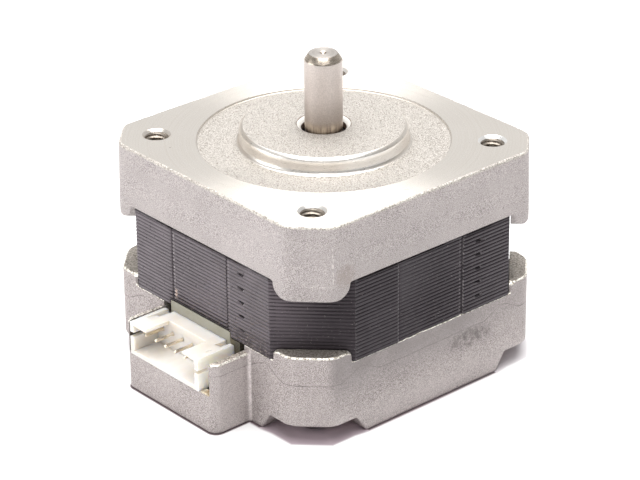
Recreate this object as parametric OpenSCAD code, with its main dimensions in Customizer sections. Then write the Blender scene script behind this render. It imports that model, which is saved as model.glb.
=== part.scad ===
// Hybrid stepper motor, 42 mm square frame, with a six-way side connector.
// Origin: centre of the mounting face, on the shaft axis. The shaft points
// along +Z, the connector faces -Y. All lengths are in millimetres.

/* [Frame] */
// Width across the flats of the front end cap
front_w = 42.3; // [42.1:0.1:42.5]
// Corner chamfer of the front end cap, measured along one side
front_c = 4.35; // [4.0:0.05:4.6]
// Width across the flats of the rear end cap
rear_w = 42.1; // [41.9:0.1:42.3]
// Corner chamfer of the rear end cap, measured along one side
rear_c = 4.1; // [3.8:0.05:4.4]
// Width across the flats of the lamination stack
stack_w = 42.1; // [41.9:0.1:42.2]
// Corner chamfer of the lamination stack, measured along one side
stack_c = 7.65; // [7.3:0.05:7.8]
// Depth of the front end cap below the mounting face
front_h = 8.15; // [8.0:0.05:8.3]
// Height of the lamination stack
stack_h = 11.5; // [11.3:0.1:11.7]
// Length of the whole body, mounting face to rear face
body_l = 30.4; // [30.2:0.1:30.6]

/* [Mounting face] */
// Distance between two neighbouring mounting holes
hole_pitch = 31; // [30.8:0.1:31.2]
// Tapping bore of the mounting holes
tap_d = 2.5; // [2.4:0.05:2.6]
// Diameter of the countersink at each mounting hole
sink_d = 3.8; // [3.4:0.1:4.0]
// Depth of the countersink
sink_t = 0.45; // [0.3:0.05:0.65]
// Depth of thread left free in front of the assembly screws
thread_depth = 4.5; // [4.0:0.1:4.8]
// Diameter of the centring boss
pilot_d = 22; // [21.9:0.05:22.1]
// Height of the centring boss above the mounting face
pilot_h = 2.05; // [1.9:0.05:2.2]
// Outer diameter of the shallow ring recess round the boss
recess_d = 33.36; // [33.0:0.1:33.8]
// Depth of the ring recess
recess_t = 0.33; // [0.2:0.05:0.4]

/* [Shaft] */
// Shaft diameter
shaft_d = 5; // [4.98:0.01:5.0]
// Height of the shaft end above the mounting face
shaft_top = 12; // [10:0.5:24]
// Length of the chamfer at the shaft end
shaft_cham = 1.0; // [0.6:0.1:1.2]
// Diameter of the opening in the centring boss
boss_bore_d = 5.9; // [5.6:0.1:6.4]

/* [Rotor and stator] */
// Rotor teeth
rotor_teeth = 50; // [50]
// Outer diameter of the rotor teeth
rotor_d = 22; // [21.9:0.02:22.0]
// Depth of the rotor and stator teeth
tooth_t = 0.65; // [0.5:0.05:0.7]
// Width of the air gap, one side
air_gap = 0.1; // [0.08:0.01:0.15]
// Length of one rotor cup
cup_h = 4.7; // [4.6:0.05:4.7]
// Thickness of the rotor magnet
magnet_h = 2.0; // [1.8:0.1:2.0]

/* [Bearings] */
// Outer diameter of both ball bearings
brg_d = 16; // [15.9:0.05:16]
// Width of both ball bearings
brg_w = 5; // [4.9:0.05:5]
// Pitch diameter of the balls
ball_pitch_d = 10.5; // [10.4:0.05:10.6]
// Ball diameter
ball_d = 2.78; // [2.7:0.02:2.8]
// Balls in each bearing
ball_n = 7; // [6:1:8]

/* [Connector] */
// Number of contacts
pin_n = 6; // [6]
// Distance between two contacts
pin_pitch = 2.0; // [2.0]
// Diameter of a contact
pin_d = 0.54; // [0.5:0.02:0.6]

/* [Hidden] */

fw = front_w / 2;
rw = rear_w / 2;
sw = stack_w / 2;
hp = hole_pitch / 2;
z_stack = -front_h;                  // front end of the stack
z_seat = z_stack - stack_h;          // rear end of the stack
z_rear = -body_l;                    // rear face
z_mid = (z_stack + z_seat) / 2;      // middle of the stack
z_ear_f = z_stack - 2.1;             // lower end of the front lugs
z_ear_r = z_seat + 1.55;             // upper end of the rear lugs
lug_d = 24.46;                       // inner plane of the lugs, from the axis
z_pad = z_rear + 2.4;                // seat of the screw heads
z_bf = 0.6;                          // outer end of the front bearing
z_br = z_rear + 1.65;                // outer end of the rear bearing
z_pocket = z_rear + 1.2;             // floor of the rear bearing pocket
cav_r = 19.2;                        // radius of the winding chamber
bore_r = rotor_d / 2 + air_gap;      // radius at the stator teeth
yoke_r = 17.6;                       // inner radius of the stator yoke
pole_w = 4.2;                        // width of a stator pole
shoe_r = 12.7;                       // back of the pole shoes
coil_in = 2.55;                      // half width of the coil window
coil_out = 4.8;                      // half width of the coil
end_in = 0.8;                        // insulator thickness on the stack end
end_out = 3.1;                       // height of a coil end above the stack
box_x0 = -8.75;                      // connector box, outer left side
box_x1 = 9.25;                       // connector box, outer right side
box_y = -26.9;                       // connector box, outer face
box_z = -20.45;                      // connector box, rim
slot_x0 = -7.7;                      // connector box, inner left side
slot_x1 = 8.25;                      // connector box, inner right side
sill_z = -25.1;                      // sill below the header
hd_x0 = -7.65;                       // header, left side
hd_w = (pin_n - 1) * pin_pitch + 3.9;
hd_x1 = hd_x0 + hd_w;
hd_xc = (hd_x0 + hd_x1) / 2;
hd_y0 = -27.0;                       // header, mating face
hd_y1 = -20.95;                      // header, back
hd_base = -23.1;                     // header, floor of the socket
hd_z0 = sill_z;
hd_z1 = -20.45;
pin_z = hd_z1 - 1.7;
pin_x0 = hd_xc - (pin_n - 1) * pin_pitch / 2;
pcb_y0 = -20.1;                      // board, side that faces the header
pcb_y1 = -19.1;                      // board, side that faces the rotor
lead_z = -24.6;                      // row of winding pads on the board
lead_x = [-6.4, -2.5, 2.5, 6.4];
lead_r = 0.25;

function unit(v) = v / norm(v);

// Points of an arc of radius r that rounds the corner b between a and c
function corner_arc(a, b, c, r, n) =
  let (u = unit(a - b), v = unit(c - b), half = acos(u * v) / 2,
       o = b + unit(u + v) * (r / sin(half)),
       p = b + u * (r / tan(half)) - o, q = b + v * (r / tan(half)) - o,
       a0 = atan2(p[1], p[0]), a1 = atan2(q[1], q[0]),
       da = (a1 - a0 + 540) % 360 - 180)
  [for (i = [0:n]) o + r * [cos(a0 + da * i / n), sin(a0 + da * i / n)]];

function rounded(pts, r, n) = let (m = len(pts))
  [for (i = [0:m-1]) each corner_arc(pts[(i + m - 1) % m], pts[i],
                                     pts[(i + 1) % m], r, n)];

// Square of half width s with its corners cut off by c
function octagon(s, c) = [[s - c, -s], [s, -s + c], [s, s - c], [s - c, s],
  [-s + c, s], [-s, s - c], [-s, -s + c], [-s + c, -s]];

module at_corners() for (a = [0:90:270]) rotate([0, 0, a]) children();

module at_holes() for (x = [-hp, hp], y = [-hp, hp]) translate([x, y, 0]) children();

// Solid of revolution from a list of [radius, height] points
module turned(pts, n = 96) rotate_extrude($fn = n) polygon(pts);

module ring(ro, ri, z0, z1, n = 96) translate([0, 0, z0])
  difference() {
    cylinder(r = ro, h = z1 - z0, $fn = n);
    translate([0, 0, -1]) cylinder(r = ri, h = z1 - z0 + 2, $fn = n);
  }

// Part of the cap outline outside a corner facet of the stack, between the
// heights z0 and z1; the two corners at the free end are rounded by r
module lug(s, c, half, z0, z1, r, up) {
  zf = up ? z1 : z0;
  k = up ? -1 : 1;
  profile = concat([[-half, up ? z0 : z1], [half, up ? z0 : z1]],
    [for (a = [0:15:90]) [half - r + r * cos(a), zf + k * (r - r * sin(a))]],
    [for (a = [90:15:180]) [-half + r + r * cos(a), zf + k * (r - r * sin(a))]]);
  intersection() {
    translate([0, 0, z0]) linear_extrude(z1 - z0) polygon(rounded(octagon(s, c), 3, 5));
    rotate([0, 0, 45]) translate([lug_d, 0, 0]) rotate([90, 0, 90])
      linear_extrude(10) polygon(profile);
  }
}

module front_cap() color("#cfc6c2") {
  outline = rounded(octagon(fw, front_c), 3, 5);
  difference() {
    union() {
      translate([0, 0, z_stack]) linear_extrude(front_h - 0.5) polygon(outline);
      hull() {
        translate([0, 0, -0.5]) linear_extrude(0.01) polygon(outline);
        translate([0, 0, -0.01]) linear_extrude(0.01)
          polygon(rounded(octagon(fw - 0.45, front_c), 3, 5));
      }
      turned([[0, -1], [pilot_d / 2, -1], [pilot_d / 2, pilot_h - 0.4],
              [pilot_d / 2 - 0.4, pilot_h], [0, pilot_h]]);
      at_corners() lug(fw, front_c, 4.8, z_ear_f, z_stack + 0.01, 2, false);
    }
    // ring recess with a sloping foot at the boss
    turned([[pilot_d / 2, recess_t * 0.7], [pilot_d / 2 + 0.55, -recess_t],
            [recess_d / 2, -recess_t], [recess_d / 2, 1], [pilot_d / 2, 1]]);
    // winding chamber, round the inner bearing seat
    turned([[0, z_ear_f - 1], [cav_r, z_ear_f - 1], [cav_r, -3], [10, -3], [10, z_bf - brg_w],
            [0, z_bf - brg_w]]);
    // bearing seat, relief and shaft opening
    turned([[0, z_bf - brg_w - 0.01], [brg_d / 2, z_bf - brg_w - 0.01], [brg_d / 2, z_bf],
            [6.5, z_bf], [6.5, z_bf + 0.25], [boss_bore_d / 2, z_bf + 0.25],
            [boss_bore_d / 2, pilot_h - 0.3], [boss_bore_d / 2 + 0.5, pilot_h],
            [boss_bore_d / 2 + 0.5, pilot_h + 1], [0, pilot_h + 1]]);
    at_holes() {
      translate([0, 0, -front_h - 1]) cylinder(d = tap_d, h = front_h + 2, $fn = 48);
      translate([0, 0, -front_h - 1]) cylinder(d = 3.04, h = front_h + 1.2 - thread_depth, $fn = 48);
      translate([0, 0, -sink_t]) cylinder(d1 = tap_d, d2 = sink_d, h = sink_t, $fn = 48);
      cylinder(d = sink_d, h = 1, $fn = 48);
    }
  }
}

// Recess under one corner of the rear cap, with two sloping walls
module corner_notch() intersection() {
  translate([0, 30, 0]) rotate([90, 0, 0]) linear_extrude(30)
    polygon([[11.5, z_rear], [13.05, z_pad], [30, z_pad], [30, z_rear - 1], [11.5, z_rear - 1]]);
  translate([0, 0, 0]) rotate([90, 0, 90]) linear_extrude(30)
    polygon([[11.5, z_rear], [13.05, z_pad], [30, z_pad], [30, z_rear - 1], [11.5, z_rear - 1]]);
}

module rear_cap() color("#c3bab5") difference() {
  union() {
    translate([0, 0, z_rear]) linear_extrude(z_seat - z_rear)
      polygon(rounded(octagon(rw, rear_c), 3, 5));
    at_corners() lug(rw, rear_c, 5, z_seat - 0.01, z_ear_r, 0.8, true);
    // connector box
    translate([0, 0, z_rear]) linear_extrude(box_z - z_rear)
      polygon(concat([[box_x1, -rw + 1], [box_x0, -rw + 1]],
        corner_arc([box_x0, 0], [box_x0, box_y], [box_x1, box_y], 1, 5),
        corner_arc([box_x0, box_y], [box_x1, box_y], [box_x1, 0], 1, 5)));
  }
  // winding chamber, narrower at the bottom, round the bearing seat
  turned([[10, z_rear + 1.6], [16.6, z_rear + 1.6], [16.6, z_rear + 3.8],
          [cav_r, z_rear + 3.8], [cav_r, z_ear_r + 1], [0, z_ear_r + 1],
          [0, z_br + brg_w], [10, z_br + brg_w]]);
  // bearing seat and rear opening
  turned([[0, z_rear - 1], [5.15, z_rear - 1], [5.15, z_rear], [4.75, z_rear + 0.4],
          [4.75, z_pocket], [brg_d / 2, z_pocket], [brg_d / 2, z_br + brg_w + 0.01],
          [0, z_br + brg_w + 0.01]]);
  // inside of the connector box, and the front opening above the sill
  translate([slot_x0, -25.7, z_rear + 1.4])
    cube([slot_x1 - slot_x0, 25.7 - 16.4, 20]);
  translate([slot_x0, box_y - 1, sill_z]) cube([slot_x1 - slot_x0, 3, 20]);
  at_corners() corner_notch();
  at_holes() translate([0, 0, z_rear - 1]) cylinder(d = 3.4, h = 20, $fn = 48);
}

function polar(r, a) = [r * cos(a), r * sin(a)];

// Outline of one pole, shoe and teeth, from slot to slot, about angle a
function pole_points(a) = let (
    hw = 19.3, b = asin(pole_w / 2 / yoke_r), s = asin(pole_w / 2 / shoe_r))
  concat(
    [for (i = [0:3]) polar(yoke_r, a - 22.5 + i * (22.5 - b) / 3)],
    [polar(shoe_r, a - s), polar(shoe_r, a - 10), polar(shoe_r - 0.1, a - 15),
     polar(shoe_r - 0.6, a - hw)],
    [for (t = [0:5], k = [0:3]) let (c = a - 18 + 7.2 * t)
       polar(k == 0 || k == 3 ? bore_r + (t == 0 && k == 0 || t == 5 && k == 3 ? 0.02 : tooth_t)
                              : bore_r, c + [-1.55, -1.3, 1.3, 1.55][k])],
    [polar(shoe_r - 0.6, a + hw), polar(shoe_r - 0.1, a + 15), polar(shoe_r, a + 10),
     polar(shoe_r, a + s)],
    [for (i = [1:3]) polar(yoke_r, a + 22.5 - (3 - i + 1) * (22.5 - b) / 3)]);

module stator_core() color("#4a4749") translate([0, 0, z_seat])
  linear_extrude(stack_h) difference() {
    polygon(octagon(sw, stack_c));
    polygon([for (p = [0:7]) each pole_points(p * 45)]);
    at_holes() circle(d = 3.4, $fn = 48);
    // shallow panel in the middle of each side
    for (a = [0:90:270]) rotate(a) translate([-6, -sw - 1]) square([11.1, 1.2]);
  }

module insulator() {
  // outer wall round all coils, on the end of the yoke
  ring(18.8, 17.45, 0, 3.85);
  for (p = [0:7]) rotate([0, 0, p * 45]) {
    translate([12.75, -2.5, 0]) cube([4.8, 5, end_in]);
    // wall in front of the coil, along the pole shoe
    intersection() {
      ring(12.8, 12.0, 0, 3.5);
      translate([10, -3.6, -1]) cube([4, 7.2, 6]);
    }
    for (y = [-2.5, pole_w / 2 + 0.02]) translate([12.95, y, -stack_h / 2 + 0.05])
      cube([3.9, 2.48 - pole_w / 2, stack_h / 2]);
  }
}

module front_insulator() color("#d8d5cb") translate([0, 0, z_stack]) insulator();

module rear_insulator() color("#d8d5cb") difference() {
  translate([0, 0, z_seat]) mirror([0, 0, 1]) insulator();
  // gap in the wall behind the circuit board
  translate([-8.6, -20, z_seat - 5]) cube([17.2, 3, 4.2]);
}

module coil(a) {
  h = stack_h + 2 * end_out;
  hi = stack_h + 2 * end_in + 0.04;
  rotate([0, 0, a]) translate([13.05, 0, z_mid]) rotate([90, 0, 90])
    linear_extrude(3.5) difference() {
      union() {
        square([2 * coil_out - 3.6, h], center = true);
        square([2 * coil_out, h - 3.6], center = true);
        for (x = [-1, 1], y = [-1, 1]) translate([x * (coil_out - 1.8), y * (h / 2 - 1.8)])
          circle(r = 1.8, $fn = 32);
      }
      square([2 * coil_in, hi], center = true);
    }
}

module coils_phase_a() color("#9c5a2b") for (a = [0:90:270]) coil(a);

module coils_phase_b() color("#a8632e") for (a = [45:90:315]) coil(a);

// The relief lies inside the opening of the boss, in front of the bearing
module shaft() color("#b9b1ab") turned([[0, z_rear + 1.1], [shaft_d / 2 - 0.4, z_rear + 1.1],
  [shaft_d / 2, z_rear + 1.5], [shaft_d / 2, z_bf + 0.05], [shaft_d / 2 - 0.2, z_bf + 0.25],
  [shaft_d / 2 - 0.2, pilot_h - 0.2], [shaft_d / 2, pilot_h], [shaft_d / 2, shaft_top - shaft_cham],
  [shaft_d / 2 - 0.6, shaft_top], [0.45, shaft_top], [0, shaft_top - 0.45]]);

module cup(turn) difference() {
  linear_extrude(cup_h) polygon([for (t = [0:rotor_teeth-1], k = [0:3])
    polar(k == 0 || k == 3 ? rotor_d / 2 - tooth_t : rotor_d / 2,
          turn + t * 360 / rotor_teeth + [-1.9, -1.35, 1.35, 1.9][k])]);
  translate([0, 0, -1]) cylinder(d = shaft_d, h = cup_h + 2, $fn = 96);
}

module rotor_cup_front() color("#8b8886") difference() {
  translate([0, 0, z_mid + magnet_h / 2]) cup(0);
  ring(8.8, 5.2, z_mid + magnet_h / 2 + cup_h - 0.6, z_mid + 10);
}

module rotor_cup_rear() color("#8b8886") difference() {
  translate([0, 0, z_mid - magnet_h / 2 - cup_h]) cup(180 / rotor_teeth);
  ring(8.8, 5.2, z_mid - 10, z_mid - magnet_h / 2 - cup_h + 0.6);
}

module rotor_magnet() color("#5d5b5c")
  ring(rotor_d / 2 - tooth_t - 0.5, shaft_d / 2 + 0.6, z_mid - magnet_h / 2, z_mid + magnet_h / 2);

module front_spacer() color("#c9b26a")
  ring(3.7, shaft_d / 2, z_mid + magnet_h / 2 + cup_h, z_bf - brg_w);

module rear_spacer() color("#c9b26a")
  ring(3.7, shaft_d / 2, z_br + brg_w, z_mid - magnet_h / 2 - cup_h);

// Ball bearing pieces, drawn about the middle of the bearing
module race(ro, ri) difference() {
  ring(ro, ri, -brg_w / 2, brg_w / 2);
  rotate_extrude($fn = 96) translate([ball_pitch_d / 2, 0]) circle(d = ball_d + 0.08, $fn = 48);
}

module outer_ring() difference() {
  race(brg_d / 2, 6.35);
  for (s = [-1, 1]) ring(6.9, 5, s * (brg_w / 2 - 0.35) - 0.35, s * (brg_w / 2 - 0.35) + 0.35);
}

module inner_ring() race(4.15, shaft_d / 2);

module balls() for (i = [0:ball_n-1]) rotate([0, 0, i * 360 / ball_n])
  translate([ball_pitch_d / 2, 0, 0]) sphere(d = ball_d, $fn = 48);

module cage() difference() {
  ring(5.95, 4.55, -1.8, 1.8);
  for (i = [0:ball_n-1]) rotate([0, 0, i * 360 / ball_n])
    translate([3.5, 0, 0]) rotate([0, 90, 0]) cylinder(d = ball_d + 0.16, h = 4, $fn = 48);
}

module shields() for (s = [-1, 1])
  ring(6.9, 4.35, s * (brg_w / 2 - 0.25) - 0.12, s * (brg_w / 2 - 0.25) + 0.12);

module at_front() translate([0, 0, z_bf - brg_w / 2]) children();

module at_rear() translate([0, 0, z_br + brg_w / 2]) children();

module front_bearing_outer_ring() color("#b4b6b8") at_front() outer_ring();

module front_bearing_inner_ring() color("#b4b6b8") at_front() inner_ring();

module front_bearing_balls() color("#d7dadd") at_front() balls();

module front_bearing_cage() color("#c8a35a") at_front() cage();

module front_bearing_shields() color("#a8abad") at_front() shields();

module rear_bearing_outer_ring() color("#b4b6b8") at_rear() outer_ring();

module rear_bearing_inner_ring() color("#b4b6b8") at_rear() inner_ring();

module rear_bearing_balls() color("#d7dadd") at_rear() balls();

module rear_bearing_cage() color("#c8a35a") at_rear() cage();

module rear_bearing_shields() color("#a8abad") at_rear() shields();

// Spring washer with three waves, between the rear bearing and its seat
module wave_washer() color("#9a9da0") {
  n = 72;
  zc = (z_pocket + z_br) / 2;
  amp = (z_br - z_pocket) / 2 - 0.11;
  pts = [for (i = [0:n-1]) each let (a = i * 360 / n, z = zc + amp * sin(3 * a))
    [[6.75 * cos(a), 6.75 * sin(a), z - 0.1], [7.7 * cos(a), 7.7 * sin(a), z - 0.1],
     [7.7 * cos(a), 7.7 * sin(a), z + 0.1], [6.75 * cos(a), 6.75 * sin(a), z + 0.1]]];
  polyhedron(pts, [for (i = [0:n-1], k = [0:3]) let (a = 4 * i, b = 4 * ((i + 1) % n), l = (k + 1) % 4)
    each [[a + k, b + l, b + k], [a + k, a + l, b + l]]]);
}

module along_y(x, y, z) translate([x, y, z]) rotate([-90, 0, 0]) children();

module circuit_board() color("#8f9384") difference() {
  translate([-7.6, pcb_y0, z_rear + 1.6]) cube([15, pcb_y1 - pcb_y0, z_seat - 0.1 - z_rear - 1.6]);
  // step beside the header
  translate([4.75, pcb_y0 - 1, z_seat - 1.3]) cube([4, 3, 3]);
  for (i = [0:pin_n-1]) along_y(pin_x0 + i * pin_pitch, pcb_y0 - 1, pin_z)
    cylinder(d = 0.9, h = 3, $fn = 32);
  for (x = lead_x) along_y(x, pcb_y0 - 1, lead_z) cylinder(r = 0.4, h = 3, $fn = 32);
}

module connector_housing() color("#ece6da") difference() {
  translate([hd_x0, hd_y0, hd_z0]) cube([hd_w, hd_y1 - hd_y0, hd_z1 - hd_z0]);
  // socket
  translate([hd_x0 + 0.75, hd_y0 - 1, hd_z0 + 0.6])
    cube([hd_w - 1.5, hd_base - hd_y0 + 1, hd_z1 - hd_z0 - 1.2]);
  // opening in the upper wall, for the plug's key
  translate([hd_xc - 3.25, hd_y0 - 1, hd_z1 - 1]) cube([6.5, hd_base - hd_y0 + 1, 2]);
  // slots in the two end walls
  for (x = [hd_x0 - 1, hd_x1 - 0.9]) translate([x, hd_y0 - 1, hd_z1 - 2.15]) cube([1.9, 2.8, 0.5]);
  // notches at the two upper back corners
  for (x = [hd_x0 + 0.65, hd_x1 - 1.55]) translate([x, hd_y1 - 0.7, hd_z1 - 0.6]) cube([0.9, 2, 2]);
  for (i = [0:pin_n-1]) along_y(pin_x0 + i * pin_pitch, hd_base - 1, pin_z)
    cylinder(d = pin_d, h = 5, $fn = 32);
}

module connector_pins() color("#d9cdb0") for (i = [0:pin_n-1])
  along_y(pin_x0 + i * pin_pitch, -26, pin_z) {
    cylinder(d1 = pin_d - 0.24, d2 = pin_d, h = 0.25, $fn = 32);
    translate([0, 0, 0.25]) cylinder(d = pin_d, h = 26 - 18.4 - 0.25, $fn = 32);
  }

module joint_cone(x, z, ri) along_y(x, pcb_y1, z) difference() {
  cylinder(r1 = 0.75, r2 = ri + 0.12, h = 0.55, $fn = 32);
  translate([0, 0, -1]) cylinder(r = ri, h = 3, $fn = 32);
}

module solder_joints() color("#c9ccce") {
  for (i = [0:pin_n-1]) joint_cone(pin_x0 + i * pin_pitch, pin_z, pin_d / 2);
  for (x = lead_x) along_y(x, pcb_y1, lead_z) difference() {
    cylinder(r1 = 0.8, r2 = 0.45, h = 0.5, $fn = 32);
    translate([0, 0, 0.2]) cylinder(r = lead_r, h = 3, $fn = 32);
  }
}

// Winding ends: down from a coil end, then across to the board
module lead(x0, y0, x1) {
  z0 = z_seat - end_out;
  ya = pcb_y1 + 0.2;
  translate([x0, y0, lead_z]) cylinder(r = lead_r, h = z0 - lead_z, $fn = 24);
  translate([x0, y0, lead_z]) sphere(r = lead_r, $fn = 24);
  yk = -18.2;
  hull() {
    translate([x0, y0, lead_z]) sphere(r = lead_r * 0.98, $fn = 16);
    translate([x1, yk, lead_z]) sphere(r = lead_r * 0.98, $fn = 16);
  }
  translate([x1, yk, lead_z]) sphere(r = lead_r, $fn = 24);
  along_y(x1, ya, lead_z) cylinder(r = lead_r, h = yk - ya, $fn = 24);
}

module lead_wires() color("#b06a34") {
  lead(-10.6, -10.6, lead_x[0]);
  lead(-2, -15, lead_x[1]);
  lead(2, -15, lead_x[2]);
  lead(10.6, -10.6, lead_x[3]);
}

// Pan head screws through the rear cap and the stack into the front cap
module assembly_screws() color("#a9abae") at_holes() difference() {
  turned([[0, z_rear + 0.5], [1.9, z_rear + 0.5], [2.5, z_rear + 0.75], [2.75, z_rear + 1.3],
          [2.75, z_pad], [1.5, z_pad], [1.5, -thread_depth - 0.35], [1.15, -thread_depth],
          [0, -thread_depth]], 48);
  for (a = [0, 90]) rotate([0, 0, a]) translate([-1.45, -0.3, z_rear]) cube([2.9, 0.6, 1.6]);
}

front_cap();
rear_cap();
stator_core();
front_insulator();
rear_insulator();
coils_phase_a();
coils_phase_b();
shaft();
rotor_cup_front();
rotor_cup_rear();
rotor_magnet();
front_spacer();
rear_spacer();
front_bearing_outer_ring();
front_bearing_inner_ring();
front_bearing_balls();
front_bearing_cage();
front_bearing_shields();
rear_bearing_outer_ring();
rear_bearing_inner_ring();
rear_bearing_balls();
rear_bearing_cage();
rear_bearing_shields();
wave_washer();
circuit_board();
connector_housing();
connector_pins();
solder_joints();
lead_wires();
assembly_screws();
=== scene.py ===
import math

import bmesh
import bpy
import numpy as np
from mathutils import Matrix, Vector
from mathutils.geometry import delaunay_2d_cdt


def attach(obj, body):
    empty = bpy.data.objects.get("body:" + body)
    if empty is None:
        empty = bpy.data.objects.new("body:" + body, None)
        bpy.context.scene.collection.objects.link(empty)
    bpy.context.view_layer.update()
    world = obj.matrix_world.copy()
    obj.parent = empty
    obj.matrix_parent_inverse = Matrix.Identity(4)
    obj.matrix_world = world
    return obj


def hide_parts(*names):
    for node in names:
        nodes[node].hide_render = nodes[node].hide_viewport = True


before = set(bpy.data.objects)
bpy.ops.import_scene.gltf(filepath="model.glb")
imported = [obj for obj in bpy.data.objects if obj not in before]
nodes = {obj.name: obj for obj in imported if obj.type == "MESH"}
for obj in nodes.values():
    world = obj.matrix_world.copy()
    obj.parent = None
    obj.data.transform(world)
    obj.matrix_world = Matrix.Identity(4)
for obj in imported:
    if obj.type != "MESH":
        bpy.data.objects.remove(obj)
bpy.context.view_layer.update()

# All lengths below are in millimetres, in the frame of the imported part:
# the origin is the centre of the mounting face, +Z runs out along the shaft,
# and the connector faces -Y. to_object() turns them into metres.
MM = 0.001
S2 = math.sqrt(2.0)

FRONT_S, FRONT_C = 21.15, 4.35
REAR_S, REAR_C = 21.05, 4.1
STACK_S, STACK_C = 21.05, 7.65
Z_STACK, Z_SEAT, Z_REAR = -8.15, -19.65, -30.4
Z_EAR_F, Z_EAR_R = -10.25, -18.1
Z_PAD = -28.0
LUG_D = 24.46
HOLE = 15.5
CAV_R = 19.2


# ---------------------------------------------------------------- mesh tools

class Shell:
    """Collects the faces of one closed surface and welds points that coincide."""

    def __init__(self):
        self.points, self.faces, self.index = [], [], {}

    def add(self, p):
        key = (round(p[0], 4), round(p[1], 4), round(p[2], 4))
        if key not in self.index:
            self.index[key] = len(self.points)
            self.points.append((float(p[0]), float(p[1]), float(p[2])))
        return self.index[key]

    def face(self, pts):
        ids = []
        for p in pts:
            i = self.add(p)
            if i not in ids:
                ids.append(i)
        if len(ids) > 2:
            self.faces.append(ids)

    def strip(self, a, b, close=False):
        n = len(a)
        for i in range(n if close else n - 1):
            j = (i + 1) % n
            self.face([a[i], a[j], b[j], b[i]])

    def rows(self, rows, close=False):
        for a, b in zip(rows, rows[1:]):
            self.strip(a, b, close)

    def fill(self, outer, holes=(), flat=lambda p: (p[0], p[1]), extra=(), lift=None):
        """Fills the loop outer, without the loops in holes, with triangles."""
        pts, edges = [], []
        loops = [outer, *holes]
        for loop in loops:
            start = len(pts)
            pts += list(loop)
            edges += [(start + i, start + (i + 1) % len(loop)) for i in range(len(loop))]
        given = len(pts)
        flat_pts = [Vector(flat(p)) for p in pts] + [Vector(q) for q in extra]
        out, _, tris, origin, _, _ = delaunay_2d_cdt(flat_pts, edges, [], 1, 1e-7)
        rings = [np.array([flat(p) for p in loop]) for loop in loops]
        for tri in tris:
            c = sum((out[i] for i in tri), Vector((0, 0))) / len(tri)
            if not inside(rings[0], c) or any(inside(r, c) for r in rings[1:]):
                continue
            where = []
            for i in tri:
                first = min(origin[i]) if origin[i] else -1
                if 0 <= first < given:
                    where.append(pts[first])
                else:
                    where.append(lift(out[i]))
            self.face(where)


def inside(ring, c):
    """Whether the 2D point c lies inside the closed ring."""
    x, y = ring[:, 0], ring[:, 1]
    x2, y2 = np.roll(x, -1), np.roll(y, -1)
    cross = (y > c[1]) != (y2 > c[1])
    dy = np.where(y2 == y, 1e-12, y2 - y)
    return bool(np.count_nonzero(cross & (c[0] < (x2 - x) * (c[1] - y) / dy + x)) % 2)


def circle(r, z, n=64, cx=0.0, cy=0.0, start=0.0):
    return [(cx + r * math.cos(start + 2 * math.pi * i / n),
             cy + r * math.sin(start + 2 * math.pi * i / n), z) for i in range(n)]


def turned(shell, profile, n=160, cx=0.0, cy=0.0):
    """Surface of revolution about Z; a radius of 0 closes it."""
    for (r0, z0), (r1, z1) in zip(profile, profile[1:]):
        shell.strip(circle(r0, z0, n, cx, cy), circle(r1, z1, n, cx, cy), True)


def arc_points(cx, cz, r, a0, a1, n):
    """(radius, height) points of an arc, with angles in degrees."""
    return [(cx + r * math.cos(math.radians(a0 + (a1 - a0) * i / n)),
             cz + r * math.sin(math.radians(a0 + (a1 - a0) * i / n))) for i in range(n + 1)]


def round_path(pts, radii, step=0.22):
    """Open 2D path whose inner corners are rounded by the given radii."""
    out = [tuple(pts[0])]
    for i in range(1, len(pts) - 1):
        a, b, c = (Vector(pts[k]) for k in (i - 1, i, i + 1))
        r = radii[i]
        u, v = (a - b).normalized(), (c - b).normalized()
        half = math.acos(max(-1, min(1, u.dot(v)))) / 2
        if r <= 0 or half > math.pi / 2 - 1e-4:
            out.append(tuple(b))
            continue
        o = b + (u + v).normalized() * (r / math.sin(half))
        p, q = b + u * (r / math.tan(half)) - o, b + v * (r / math.tan(half)) - o
        a0, turn = math.atan2(p.y, p.x), math.atan2(p.cross(q), p.dot(q))
        seg = max(4, math.ceil(r * abs(turn) / step))
        for k in range(seg + 1):
            t = a0 + turn * k / seg
            out.append((o.x + r * math.cos(t), o.y + r * math.sin(t)))
    out.append(tuple(pts[-1]))
    return out


def round_loop(pts, radii, seg=5):
    """Closed 2D loop with rounded corners, as a list of (x, y, nx, ny)."""
    out = []
    n = len(pts)
    for i in range(n):
        a, b, c = (Vector(pts[k % n]) for k in (i - 1, i, i + 1))
        r = radii[i] if hasattr(radii, "__len__") else radii
        u, v = (a - b).normalized(), (c - b).normalized()
        half = math.acos(max(-1, min(1, u.dot(v)))) / 2
        convex = (b - a).cross(c - b) > 0
        o = b + (u + v).normalized() * (r / math.sin(half))
        p, q = b + u * (r / math.tan(half)) - o, b + v * (r / math.tan(half)) - o
        a0, turn = math.atan2(p.y, p.x), math.atan2(p.cross(q), p.dot(q))
        for k in range(seg + 1):
            t = a0 + turn * k / seg
            w = (math.cos(t), math.sin(t))
            s = 1 if convex else -1
            out.append((o.x + r * w[0], o.y + r * w[1], s * w[0], s * w[1]))
    return out


def subdivide(path, step):
    out = [path[0]]
    for a, b in zip(path, path[1:]):
        n = max(1, math.ceil(math.dist(a, b) / step))
        out += [tuple(a[k] + (b[k] - a[k]) * i / n for k in range(len(a)))
                for i in range(1, n + 1)]
    return out


def to_object(name, shell, sharp=30.0, weld=4e-4):
    me = bpy.data.meshes.new(name)
    me.from_pydata([(x * MM, y * MM, z * MM) for x, y, z in shell.points], [], shell.faces)
    obj = bpy.data.objects.new(name, me)
    bpy.context.scene.collection.objects.link(obj)
    tidy(obj, sharp, weld)
    return obj


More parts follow.
